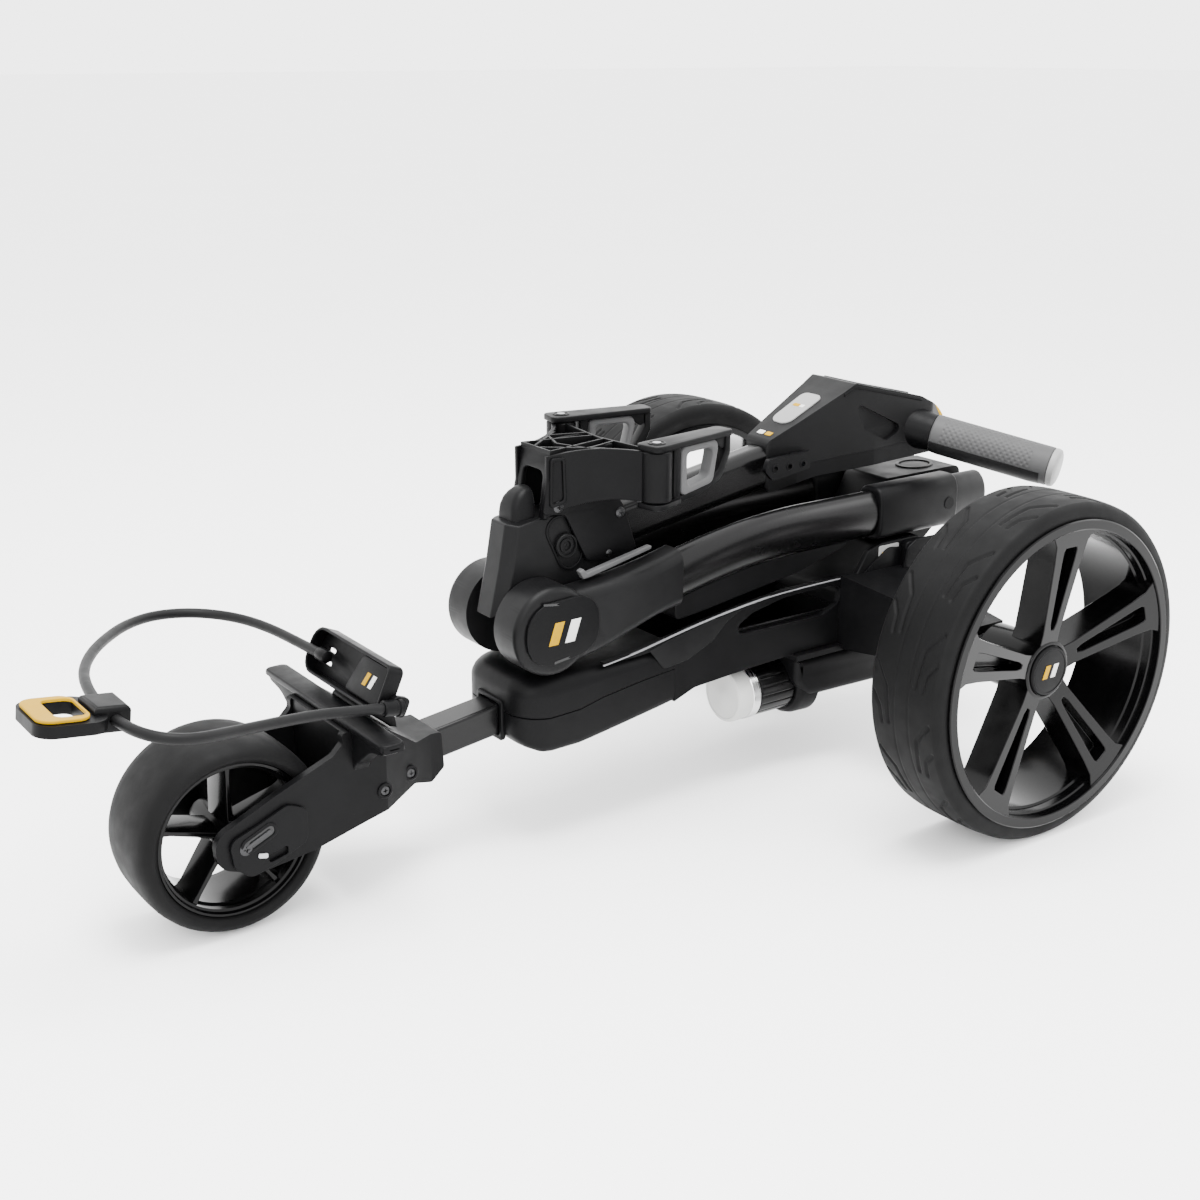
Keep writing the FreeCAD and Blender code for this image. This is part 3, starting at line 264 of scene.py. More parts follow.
STRAIGHT = 1.56               # radians: half a corner's angle above which it isn't rounded


def rounded(outline, steps=5):
    """Corner list (u, v[, radius]) as points, each rounded corner as an arc."""
    points = []
    count = len(outline)
    for index, corner in enumerate(outline):
        here = Vector(corner[:2])
        radius = corner[2] if len(corner) > 2 else 0
        back = Vector(outline[index - 1][:2]) - here
        ahead = Vector(outline[(index + 1) % count][:2]) - here
        half = back.angle(ahead) / 2
        if not radius or half > STRAIGHT:
            points.append(here)
            continue
        reach = min(radius / tan(half), 0.49 * back.length, 0.49 * ahead.length)
        radius = reach * tan(half)
        inward = (back.normalized() + ahead.normalized()).normalized()
        centre = here + inward * (radius / sin(half))
        first = here + back.normalized() * reach - centre
        last = here + ahead.normalized() * reach - centre
        start = atan2(first.y, first.x)
        turn = (atan2(last.y, last.x) - start + pi) % (2 * pi) - pi
        for step in range(steps + 1):
            angle = start + turn * step / steps
            points.append(centre + Vector((cos(angle), sin(angle))) * radius)
    return points


# Where an outline's u and v and its thickness w go, for each axis that a piece is thick along.
AXES = {"x": lambda u, v, w: (w, u, v), "y": lambda u, v, w: (u, w, v), "z": lambda u, v, w: (u, v, w)}


def plate_mesh(outlines, low, high, bevel, axis, frame_at=None):
    """Flat piece with rounded edges from an outline and the holes in it.
    Its outlines are (x, z) corners for axis y, (x, y) for axis z and (y, z) for axis x."""
    curve = bpy.data.curves.new("outline", "CURVE")
    curve.dimensions = "2D"
    curve.fill_mode = "BOTH"
    curve.extrude = max(0.001, (high - low) / 2 - bevel)
    curve.bevel_depth = bevel
    curve.bevel_resolution = 2
    curve.offset = -bevel
    for index, outline in enumerate(outlines):
        points = rounded(outline)
        area = sum(a.x * b.y - b.x * a.y for a, b in zip(points, points[1:] + points[:1]))
        if (area > 0) == (index == 0):
            points.reverse()
        spline = curve.splines.new("POLY")
        spline.points.add(len(points) - 1)
        for target, point in zip(spline.points, points):
            target.co = (point.x, point.y, 0, 1)
        spline.use_cyclic_u = True
    holder = bpy.data.objects.new("outline", curve)
    mesh = bpy.data.meshes.new_from_object(holder)
    bpy.data.objects.remove(holder)
    middle = (low + high) / 2
    for vertex in mesh.vertices:
        u, v, w = vertex.co
        point = Vector(AXES[axis](u, v, w + middle))
        vertex.co = (frame_at @ point if frame_at else point) * MM
    weld(mesh)
    return mesh


def weld(mesh):
    """Joins points that coincide and turns every face outward."""
    work = bmesh.new()
    work.from_mesh(mesh)
    bmesh.ops.remove_doubles(work, verts=work.verts, dist=0.005 * MM)
    bmesh.ops.dissolve_degenerate(work, edges=work.edges, dist=0.002 * MM)
    bmesh.ops.recalc_face_normals(work, faces=work.faces)
    work.to_mesh(mesh)
    work.free()


def plate(name, outlines, low, high, body, slot, bevel=0.8, axis="y", frame_at=None, material=None):
    """Places a flat piece from low to high along its axis."""
    mesh = plate_mesh(outlines, low, high, bevel, axis, frame_at)
    smooth(mesh)
    return place(bpy.data.objects.new(name, mesh), body, slot, material)


def loft(name, rings, body, slot, bevel=0.0, closed=False, material=None, angle=SHARP, segments=2):
    """Skin over rings of points, with flat ends unless the rings close on themselves."""
    count = len(rings[0])
    faces = []
    for index in range(len(rings) if closed else len(rings) - 1):
        here, ahead = index * count, (index + 1) % len(rings) * count
        for i in range(count):
            j = (i + 1) % count
            faces.append([here + i, here + j, ahead + j, ahead + i])
    if not closed:
        faces += [list(range(count)), list(range((len(rings) - 1) * count, len(rings) * count))]
    return mesh_piece(name, [p for ring in rings for p in ring], faces, body, slot, bevel, material, angle,
                      segments)


def mesh_piece(name, vertices, faces, body, slot, bevel=0.0, material=None, angle=SHARP, segments=2):
    """Places a piece from its points, in millimetres, and its faces."""
    mesh = bpy.data.meshes.new(name)
    mesh.from_pydata([[c * MM for c in v] for v in vertices], [], faces)
    weld(mesh)
    smooth(mesh, angle)
    obj = place(bpy.data.objects.new(name, mesh), body, slot, material)
    if bevel:
        add_bevel(obj, bevel, segments, angle)
    return obj


def turned(name, profile, centre, axis, body, slot, steps=64, warp=None, arc=(0, 360), material=None,
           angle=SHARP):
    """Closed profile of (distance along the axis, radius) turned about an axis through centre.
    Angle 0 points up, and warp(along, radius, angle) changes the radius."""
    along_axis = Vector(axis).normalized()
    upward = Vector((0, 0, 1)) if abs(along_axis.z) < 0.9 else Vector((1, 0, 0))
    up = (upward - along_axis * along_axis.dot(upward)).normalized()
    across = along_axis.cross(up)
    centre = Vector(centre)
    full = arc == (0, 360)
    rings = []
    for step in range(steps if full else steps + 1):
        turn = radians(arc[0] + (arc[1] - arc[0]) * step / steps)
        outward = up * cos(turn) + across * sin(turn)
        ring = []
        for along, radius in profile:
            extra = warp(along, radius, turn) if warp else 0
            ring.append(centre + along_axis * along + outward * (radius + extra))
        rings.append(ring)
    return loft(name, rings, body, slot, 0.0, full, material, angle)


def swept(name, points, radius, body, slot, material=None):
    """Round bead along a smooth line."""
    line = bpy.data.curves.new(name, "CURVE")
    line.dimensions = "3D"
    line.bevel_depth = radius * MM
    line.bevel_resolution = 3
    line.use_fill_caps = True
    spline = line.splines.new("NURBS")
    spline.points.add(len(points) - 1)
    for target, point in zip(spline.points, points):
        target.co = (*[c * MM for c in point], 1)
    spline.order_u = 3
    spline.use_endpoint_u = True
    return place(bpy.data.objects.new(name, line), body, slot, material)


def screw(name, centre, axis, radius, body):
    """Pan head with a cross recess, in a shallow ring."""
    top = 1.4
    profile = [(-1.5, 0), (-1.5, radius), (0.5, radius), (1.1, radius * 0.84), (top, radius * 0.55),
               (0.2, radius * 0.3), (0, 0)]

    def cross(along, size, turn):
        return -size * 0.6 * (1 - abs(cos(2 * turn)) ** 3) if along == top else 0.0
    return turned(name, profile, centre, axis, body, "steel", 32, cross, material=dark_steel)


def frame_of(origin, u, v):
    """Matrix that puts (u, v, normal) coordinates in place."""
    u, v = Vector(u).normalized(), Vector(v).normalized()
    normal = u.cross(v)
    matrix = Matrix((u, v, normal)).transposed().to_4x4()
    matrix.translation = Vector(origin)
    return matrix


def marks(name, body, frame_at, scale=1.0, top=0.0):
    """Two plain slanted bars, one yellow and one white."""
    slanted = ((0, -5), (5, -5), (8.5, 5), (3.5, 5))
    bars = ((-8, "yellow", None), (0.5, "pale_plastic", white_print))
    for index, (start, slot, material) in enumerate(bars):
        bar = [((start + dx) * scale, dy * scale) for dx, dy in slanted]
        plate("%s_%d" % (name, index), [bar], top, top + 0.35, body, slot, 0.1, "z", frame_at, material)


for name, obj in nodes.items():
    obj.data.materials.clear()
    obj.data.materials.append(materials[slot_of_node[name]])
for name in ("rear_hinge_pin", "mid_hinge_pin", "front_axle"):
    nodes[name].data.materials[0] = materials[BLACK]

# ---------------- strap
hook_pieces = [softened("hook_body", 1.2), softened("hook_insert", 0.7)]
STRAP_ROUTE = [
    (240, -32, 183), (244, -75, 184), (251, -122, 186), (264, -160, 187), (291, -183, 190), (325, -184, 194),
    (358, -163, 198), (388, -127, 202), (412, -92, 205), (432, -52, 207), (443, -12, 209), (449, 30, 210),
    (449, 66, 210), (444, 93, 209), (430, 108, 206), (410, 111, 202), (380, 102, 197), (342, 88, 190),
    (303, 78, 184), (266, 73, 177), (232, 71, 171),
]
STRAP_DIAMETER = 0.0085       # metres
curve = bpy.data.curves.new("strap", "CURVE")
curve.dimensions = "3D"
curve.bevel_depth = STRAP_DIAMETER / 2
curve.bevel_resolution = 6
curve.use_fill_caps = True
spline = curve.splines.new("NURBS")
spline.points.add(len(STRAP_ROUTE) - 1)
for point, (x, y, z) in zip(spline.points, STRAP_ROUTE):
    point.co = (x / 1000, y / 1000, z / 1000, 1)
spline.order_u = 3
spline.use_endpoint_u = True
spline.resolution_u = 12
strap = bpy.data.objects.new("strap", curve)
place(strap, "chassis", "strap")
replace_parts(strap, "strap_cord")


# ---------------- rear wheels
TREAD_COUNT = 12              # angled grooves round each shoulder of one tyre
TREAD_RADIUS = 140            # the tread is outside this
TYRE_RADIUS = 150
# Runs of one angled groove: (distance from the middle plane, distance round the tyre).
TREAD_LINES = [((30, -24), (17, -7)), ((17, -7), (14, 24)), ((31.5, 2), (24, 12)), ((24, 12), (22, 26))]


def distance_to(point, start, end):
    """Distance from a point to a straight run."""
    start, end = Vector(start), Vector(end)
    run = end - start
    share = max(0.0, min(1.0, (point - start).dot(run) / run.length_squared))
    return (point - start - run * share).length


def tread(along, radius, turn):
    """Depth of the tread's angled grooves and of the two rings beside the crown."""
    if radius < TREAD_RADIUS:
        return 0.0
    ring_depth = 0.5 * max(0.0, 1 - abs(abs(along) - 8) / 1.4)
    pitch = 360 / TREAD_COUNT
    offset = 0 if along > 0 else 0.5
    share = (degrees(turn) / pitch + offset) % 1 - 0.5
    spot = Vector((abs(along), share * radians(pitch) * TYRE_RADIUS))
    gap = min(distance_to(spot, start, end) for start, end in TREAD_LINES)
    return -max(ring_depth, 1.3 * max(0.0, min(1.0, 2.0 - gap)))


def mirrored(half, middle=()):
    """Profile across a wheel, from one half of it and the points between the halves."""
    return [(-a, r) for a, r in reversed(half)] + list(middle) + half


def spoke_axes(index):
    """Directions along and across one of five spokes."""
    turn = radians(18 + 72 * index)
    return Vector((cos(turn), 0, sin(turn))), Vector((-sin(turn), 0, cos(turn)))


def rear_wheel(side, label):
    centre = middle_of("rear_tyre_" + label)
    outward = Vector((0, side, 0))
    crown_radius = TYRE_RADIUS - 0.05
    crown = [(a * 0.85, crown_radius - 1.6 * (a / 40) ** 4) for a in range(-40, 41)]
    shoulder = [(36.4, 146.6), (38, 143.8), (38.9, 140), (39, 136.2), (38.4, 134.4), (37.6, 131), (37, 127.3)]
    tyre = turned("tread_tyre_" + label, mirrored(shoulder, crown), centre, outward, "rear_wheels", "tyre",
                  720, tread, angle=50)
    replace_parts(tyre, "rear_tyre_" + label)
    ring = [(-38, 121), (-38, 126.9), (39.1, 126.9), (39.1, 134.8), (39.8, 135.8), (41, 135.6), (41.7, 134.6),
            (41.7, 127.6), (41.2, 126.8), (36.5, 126.2), (34.5, 125.6), (33.8, 124), (27, 123.4), (26, 121.4),
            (8, 120.6), (-20, 120.6)]
    rim = turned("rim_ring_" + label, ring, centre, outward, "rear_wheels", "rim", 144)
    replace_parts(rim, "rear_rim_" + label)
    hub = [(-36, 6.1), (-36, 24), (-34, 26), (20, 27), (23.4, 26), (24.2, 24.6), (24.2, 22.9), (22.5, 22.5),
           (22.5, 6.1)]
    turned("rim_hub_" + label, hub, centre, outward, "rear_wheels", "rim", 96)
    cap = [(22.6, 0), (22.6, 21.9), (25.2, 21.9), (26.4, 21), (26.8, 19.6), (26.3, 18.8), (26.5, 17.6),
           (26.9, 0)]
    cap_piece = turned("cap_" + label, cap, centre, outward, "rear_wheels", BLACK, 64)
    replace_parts(cap_piece, "hub_caps")
    marks("cap_mark_" + label, "rear_wheels", frame_of(centre, (-side, 0, 0), UP), 1.15, 26.8)
    for index in range(5):
        spoke_frame(label, index, centre, outward)


def spoke_frame(label, index, centre, outward):
    """Double spoke: a tapered bar with a long blind pocket down its face."""
    along, across = spoke_axes(index)
    outer = [(20, 11), (34, 10.6), (60, 13), (100, 17.0), (116, 19.5), (127.2, 27)]
    pocket = [(37, 1.6), (43, 3.4), (64, 4.8), (100, 7.4), (109, 7.6), (112, 6.2)]
    outer = [(u, -v) for u, v in outer] + list(reversed(outer))
    pocket = [(u, -v) for u, v in pocket] + list(reversed(pocket))
    pocket_depth = 13

    def face(u):
        """Level of the spoke's face, which leans outward to the rim."""
        return 23.8 + (u - 26) * 0.163

    def back(u):
        return -8 + (u - 26) * 0.2

    def at(points, level):
        return [centre + along * u + across * v + outward * level(u) for u, v in points]
    count = len(outer)
    rings = [at(outer, face), at(pocket, face), at(outer, back), at(pocket, lambda u: face(u) - pocket_depth)]
    faces = []
    for i in range(count):
        j = (i + 1) % count
        faces.append([i, j, count + j, count + i])
        faces.append([i, j, 2 * count + j, 2 * count + i])
        faces.append([count + i, count + j, 3 * count + j, 3 * count + i])
    faces += [list(range(2 * count, 3 * count)), list(range(3 * count, 4 * count))]
    mesh_piece("spoke_%s_%d" % (label, index), [p for ring in rings for p in ring], faces, "rear_wheels",
               "rim", 0.9)


for side, label in SIDES:
    rear_wheel(side, label)


# ---------------- front wheel and fork
def front_wheel():
    centre = middle_of("front_tyre")
    half = [(12, 78.5), (22, 78), (30, 76.6), (35, 74.4), (38.2, 71.6), (39.7, 68.6), (39.9, 66.8), (39, 66),
            (38.6, 65.2), (37.4, 64.2), (36.6, 63.4), (34.5, 63.1)]
    tyre = turned("front_rubber", mirrored(half, [(0, 78.6)]), centre, LEFTWARD, "front_wheel", "tyre", 144,
                  angle=60)
    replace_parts(tyre, "front_tyre")
    ring = [(33.6, 62.9), (34.4, 62.2), (34.4, 60.4), (31.5, 59.4), (30.5, 57.6), (24, 57.2), (22.5, 55.6),
            (8, 55)]
    rim = turned("front_ring", mirrored(ring)[::-1], centre, LEFTWARD, "front_wheel", "rim", 120)
    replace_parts(rim, "front_rim")
    hub = [(-30, 4.1), (-30, 11), (-27, 13), (24, 13.6), (28, 12), (30, 10), (30, 4.1)]
    turned("front_hub", hub, centre, LEFTWARD, "front_wheel", "rim", 64)
    section = [(-5.5, -3), (5.5, -3), (5.2, 17), (1.6, 25.5), (-1.6, 25.5), (-5.2, 17)]
    for index in range(5):
        along, across = spoke_axes(index)
        stations = ((9, 1.15, 0), (30, 1.0, 0), (50, 0.9, 1), (58, 1.25, 2))
        rings = [[centre + along * u + across * v * width + Vector((0, a + lift, 0)) for v, a in section]
                 for u, width, lift in stations]
        loft("front_spoke_%d" % index, rings, "front_wheel", "rim", 0.6)


front_wheel()
softened("front_fork", 1.6, 3)
softened("front_adjuster", 0.8)
piece = plate("cradle_bar", [rectangle(244, -105, 264, 105, 6)], 151.3, 157.1, "chassis",
              slot_of_node["bag_base_cradle"], 1.5, "z")
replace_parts(piece, "bag_base_cradle")
for side, label in SIDES:
    web = [(46, 151.5), (103, 151.5), (99, 147, 8), (78, 143, 30), (53, 124, 12), (46, 112)]
    plate("cradle_web_" + label, [[(side * y, *rest) for y, *rest in web]], 247.5, 261.5, "chassis", BLACK,
          1.4, "x")
    tip = [(98, 150), (105, 150.6), (105, 156.8, 3), (98, 156.8)]
    plate("cradle_tip_" + label, [[(side * y, *rest) for y, *rest in tip]], 245, 263, "chassis", BLACK, 1.8,
          "x")
axle = middle_of("front_tyre")
SLOT_LEAN = 0.42              # radians
run, rise = cos(SLOT_LEAN), sin(SLOT_LEAN)
slot_at = frame_of((axle.x - 11, 52.8, axle.z + 6), (-run, 0, rise), (rise, 0, run))
slot_lip = [rectangle(-16, -6.5, 16, 6.5, 6), rectangle(-13.5, -4, 13.5, 4, 4)]
plate("adjuster_slot_lip", slot_lip, -1, 1, "adjuster", BLACK, 0.6, "z", slot_at)
plate("adjuster_slot_floor", [rectangle(-13.8, -4.3, 13.8, 4.3, 4)], -0.2, 0.25, "adjuster", "screen", 0.1,
      "z", slot_at)
plate("adjuster_pin", [rectangle(-12, -1.6, 11, 1.6, 1.5)], 0, 1.8, "adjuster", "steel", 0.6, "z", slot_at,
      dark_steel)
plate("adjuster_tab", [[(axle.x - 17, axle.z - 12, 1.5), (axle.x - 9, axle.z - 10, 1.5),
                        (axle.x - 9, axle.z - 6, 1.5), (axle.x - 17, axle.z - 7.5, 1.5)]], 52.4, 54,
      "adjuster", "steel", 0.5)
screw("axle_bolt_left", (axle.x, 52.6, axle.z), LEFTWARD, 5.2, "adjuster")
screw("axle_bolt_right", (axle.x, -51, axle.z), (0, -1, 0), 6, "chassis")
turned("axle_boss_right", [(-1, 4.2), (-1, 15), (1.6, 15), (2.4, 13.8), (2.4, 4.2)], (axle.x, -49.4, axle.z),
       (0, -1, 0), "chassis", BLACK)
for side, label in SIDES:
    for index, (x, y, z) in enumerate(((205, 37, 97), (235, 49.3, 94))):
        spot, outward = (x, side * y, z), (0, side, 0)
        eye = [(-1.5, 4.4), (-1.5, 6.6), (1.2, 6.6), (1.7, 6), (1.7, 4.4)]
        turned("fork_eye_%s_%d" % (label, index), eye, spot, outward, "chassis", BLACK, 40)
        screw("fork_screw_%s_%d" % (label, index), spot, outward, 4.2, "chassis")

# ---------------- bag bracket
BRACKET = Matrix.Translation((228.5, 0, 179)) @ Matrix.Rotation(radians(-24), 4, "Y")


def bracket_outline(grow):
    """Outline of the upright bag bracket, grown or shrunk all round."""
    y, z = 64 + grow, 20 + grow
    return [(-y, -z, 14 + grow), (y, -z, 6 + grow), (y, z, 6 + grow), (-y, z, 16 + grow)]


slots = [rectangle(-50, z, -37, z + 3.6, 2) for z in (2, -9)]
back = plate("bracket_back", [bracket_outline(-0.2)] + slots, 0, 3, "chassis", BLACK, 0.5, "x", BRACKET)
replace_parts(back, "lower_bag_bracket")
plate("bracket_wall", [bracket_outline(0), bracket_outline(-2.6)], 0, 13.5, "chassis", BLACK, 0.9, "x",
      BRACKET)
panel = [(2, -16.5, 3), (60.5, -16.5, 4), (60.5, 16.5, 4), (14, 16.5, 8)]
plate("bracket_panel", [panel], 2, 9, "chassis", BLACK, 1.2, "x", BRACKET)
foot = [(206, 131), (212, 133), (234, 151.3), (243.5, 151.3), (243.5, 158, 3), (236.3, 163), (223, 178),
        (214, 176, 4), (209, 150, 12)]
plate("bracket_foot", [foot], -20, 20, "chassis", BLACK, 1.6)
plug = [(-12, 3.5), (-12, 5), (-11, 5.6), (-3, 5.7), (0.4, 4.9), (1.4, 3.2), (1.5, 0), (-2, 0)]
piece = turned("strap_gland_far", plug, (240, -32, 183), (-0.092, 0.995, -0.023), "chassis", BLACK, 40)
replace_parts(piece, "strap_anchors")
sleeve = [(-14, 3.8), (-14, 5.6), (-13, 6.4), (-3, 6.6), (-2.4, 5.9), (-1, 5.9), (-0.4, 6.8), (2.6, 6.8),
          (3.4, 6), (3.4, 0), (-2, 0)]
turned("strap_gland_near", sleeve, (232, 71, 171), (-0.983, -0.058, -0.173), "chassis", BLACK, 40)
lug = [(226, 160, 4), (240, 166, 4), (233, 180, 4), (219, 175, 4)]
plate("strap_lug", [lug], 63.5, 70, "chassis", BLACK, 1.0)
marks("bracket_mark", "chassis", BRACKET @ frame_of((0, 34, 0), LEFTWARD, UP), 1.1, 8.9)

# ---------------- nose, rails and rear housing
for node, width in (("frame_rails", 1.6), ("rear_housing", 3.0), ("rear_hinge_block", 1.6),
                    ("frame_belly_cover", 2.2), ("elbow_left", 1.0), ("elbow_right", 1.0)):
    softened(node, width, 3)


# Side view of the nose: (x, height) along its seam, its bottom and its top.
NOSE_SEAM = [(-52, 135), (-19, 132), (24, 126), (58, 118), (105, 121)]
NOSE_BOTTOM = [(-52, 104), (-36, 101), (0, 95), (25, 91), (45, 88), (66, 86.6), (85, 88), (97, 93),
               (105, 100)]
NOSE_TOP = [(-52, 158), (-10, 155.6), (60, 155.6), (105, 153)]


def height_at(line, x):
    """Height of a polyline at x."""
    for (x0, z0), (x1, z1) in zip(line, line[1:]):
        if x <= x1:
            return z0 + (z1 - z0) * (x - x0) / (x1 - x0)
    return line[-1][1]


def nose_ring(inset, height):
    """Plan of the nose drawn in by an inset, each point lifted to height(x)."""
    half, front, corner = 52 - inset, 105 - inset, max(12.0, 34 - inset * 0.6)
    stations = [(-52, -half)] + [(x, -half) for x in range(-36, 60, 12)] + [(front, -half, corner)]
    stations += [(front, half, corner)] + [(x, half) for x in range(48, -37, -12)] + [(-52, half)]
    return [(p.x, p.y, height(p.x)) for p in rounded(stations, 10)]


def nose():
    """Hood and tub with rounded edges, a dark line between them and a lip round the socket."""
    gap = 0.35                # half the gap at the seam
    upper = []
    for inset, share in ((0.5, 0), (0, 0.015), (0, 0.5), (0.6, 0.62), (2.6, 0.76), (5.6, 0.87), (9.6, 0.945),
                         (14.5, 0.985), (20, 1.0)):
        upper.append(nose_ring(inset, lambda x: height_at(NOSE_SEAM, x) + gap +
                               (height_at(NOSE_TOP, x) - height_at(NOSE_SEAM, x) - gap) * share))
    piece = loft("nose_hood", upper, "chassis", BLACK, angle=40)
    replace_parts(piece, "nose_upper_shell")
    lower = []
    for inset, share in ((7, 0), (4, 0.02), (1.8, 0.06), (0.5, 0.13), (0, 0.22), (0, 0.985), (0.5, 1.0)):
        lower.append(nose_ring(inset, lambda x: height_at(NOSE_BOTTOM, x) +
                               (height_at(NOSE_SEAM, x) - gap - height_at(NOSE_BOTTOM, x)) * share))
    piece = loft("nose_tub", lower, "chassis", BLACK, angle=40)
    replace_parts(piece, "nose_lower_shell")
    filler = [nose_ring(1.4, lambda x: height_at(NOSE_SEAM, x) + d) for d in (-1.2, 1.2)]
    loft("nose_seam", filler, "chassis", "screen")
    lip = [rectangle(-20, 94, 20, 131, 4), rectangle(-15.6, 98.5, 15.6, 127, 2)]
    plate("nose_socket_lip", lip, 103, 107.4, "chassis", BLACK, 1.2, "x")


nose()


BEND_START, BEND_END = -83.2, -206.0
BEND_HEIGHT, TUBE_SLOPE, LEVEL_HEIGHT = 225.6, 0.2027, 238.0


def tube_centre(x):
    """Height and slope of the main tubes' centre line, which bends level part way back."""
    if x >= BEND_START:
        return BEND_HEIGHT + (BEND_START - x) * TUBE_SLOPE, TUBE_SLOPE
    if x <= BEND_END:
        return LEVEL_HEIGHT, 0.0
    share = (BEND_START - x) / (BEND_START - BEND_END)
    rise = TUBE_SLOPE * (BEND_START - BEND_END) * (share - share * share / 2)
    return BEND_HEIGHT + rise, TUBE_SLOPE * (1 - share)


def tube_ring(side, x, scale=1.0):
    """The main tubes' oval section, square to their centre line."""
    z, slope = tube_centre(x)
    up = Vector((slope, 0, 1)).normalized() * 22 * scale
    return [Vector((x, side * 44 + 14 * scale * sin(a), z)) + up * cos(a)
            for a in (2 * pi * k / 56 for k in range(56))]


def main_tube(side, label):
    """Glossy oval tube and the matt sleeve on its rear end."""
    bend = [BEND_START + (BEND_END - BEND_START) * k / 16 for k in range(1, 17)]
    stations = [-20, -50, BEND_START] + bend + [-300, -388]
    piece = loft("oval_tube_" + label, [tube_ring(side, x) for x in stations], "frame", "black_tube")
    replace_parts(piece, "main_tube_" + label)
    tail = [tube_ring(side, *end) for end in ((-380, 1.0), (-426, 1.0), (-428.5, 0.97), (-430, 0.9))]
    piece = loft("tube_tail_" + label, tail, "frame", BLACK, material=dark_rubber)
    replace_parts(piece, "main_tube_" + label)


for side, label in SIDES:
    main_tube(side, label)
# Parts beside the battery bay: name, nearest and farthest from the middle plane, bevel and outline.
CELL_PARTS = (
    ("cheek", 50, 56.5, 1.6,
     [(-250, 176), (-262, 184), (-276, 205, 6), (-294, 210.5, 6), (-345, 210.5, 8), (-352, 176)]),
    ("web", 55, 64, 1.2, [(-318, 176), (-318, 209, 5), (-345, 209, 5), (-345, 176)]),
    ("guard", 62.4, 66.5, 1.4,
     [(-312, 172), (-318, 204, 8), (-330, 211, 8), (-372, 210, 12), (-388, 178, 10), (-384, 160)]),
)
# Line along each rail's rim edge, as x and height, for a pale grey bead: a painted highlight on the glossy
# black edge.
RIM_EDGE = [(24, 154.5), (-10, 158.5), (-40, 164.5), (-84, 172.5), (-130, 178.5), (-177, 183), (-246, 183)]
for side, label in SIDES:
    swept("rim_edge_" + label, [(x, side * 51.3, z) for x, z in RIM_EDGE], 1.0, "chassis", "silver",
          painted_highlight_edge)
    facet = [(-24, 158), (-44, 163.2), (-86, 171.2), (-128, 176.6), (-110, 168), (-94, 153, 8),
             (-66, 141, 10), (-40, 138, 6)]
    plate("rail_facet_" + label, [facet], *span(side, 51.8, 52.7), "chassis", GRAPHITE, 0.4)
    label_at = frame_of((-302, side * 56.4, 193), (-side, 0, 0), UP)
    for part, outline, low, high, slot, bevel in (
            ("", rectangle(-13, -15, 13, 15, 2), 0, 0.8, "pale_plastic", 0.3),
            ("bar_", rectangle(-10, -12, 10, -2, 1), 0.7, 1.1, BLACK, 0.1),
            ("pip_", rectangle(-9, 4, 2, 9, 1), 0.7, 1.1, "yellow", 0.1)):
        plate("cell_label_" + part + label, [outline], low, high, "chassis", slot, bevel, "z", label_at)
    for part, inner, outer, bevel, outline in CELL_PARTS:
        plate("cell_%s_%s" % (part, label), [outline], *span(side, inner, outer), "chassis", BLACK, bevel)
case = [(-193, 113.7, 3), (-193, 92, 14), (-207, 74, 16), (-300, 72.2, 30), (-335.5, 82, 16),
        (-335.5, 113.7, 3)]
piece = plate("gearbox_case", [case], -56, 56, "chassis", BLACK, 7)
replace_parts(piece, "gearbox_cover")
COLLAR_HALF = (16.5, 25.25)   # half width and half height of a rear collar
COLLAR_ENDS = ((-286, -4), (-286, -1.8), (-286.8, -0.5), (-288.4, 0),
               (-384.6, 0), (-386.2, -0.5), (-387, -1.8), (-387, -4))


def squared(value):
    """Sine or cosine bent so that a circle turns into a rounded rectangle."""
    return copysign(abs(value) ** 0.6, value)


for side, label in SIDES:
    rings = []
    for x, grow in COLLAR_ENDS:
        half_width, half_height = COLLAR_HALF[0] + grow, COLLAR_HALF[1] + grow
        rings.append([(x, side * 45 + squared(cos(a)) * half_width,
                       238.75 + squared(sin(a)) * half_height)
                      for a in (radians(5.625 * k) for k in range(64))])
    piece = loft("collar_sleeve_" + label, rings, "frame", BLACK, angle=50)
    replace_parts(piece, "rear_collars")
bulkhead = [(-51, 172), (51, 172), (51, 208.5, 5), (-51, 208.5, 5)]
plate("cell_bulkhead", [bulkhead], -346, -342, "chassis", BLACK, 1.0, "x")
PORT_X = -388                 # middle of the round port on the rear hinge block


def port_outline(grow):
    """Oval of the port, scaled about its middle."""
    return [(PORT_X + 15 * cos(a) * grow, 12 * sin(a) * grow) for a in (radians(10 * k) for k in range(36))]


plate("hinge_port", [port_outline(1)], 261, 262.4, "chassis", BLACK, 0.4, "z", material=dark_rubber)
plate("hinge_port_lip", [port_outline(1.35), port_outline(1.12)], 261, 263.4, "chassis", GRAPHITE, 0.8, "z")

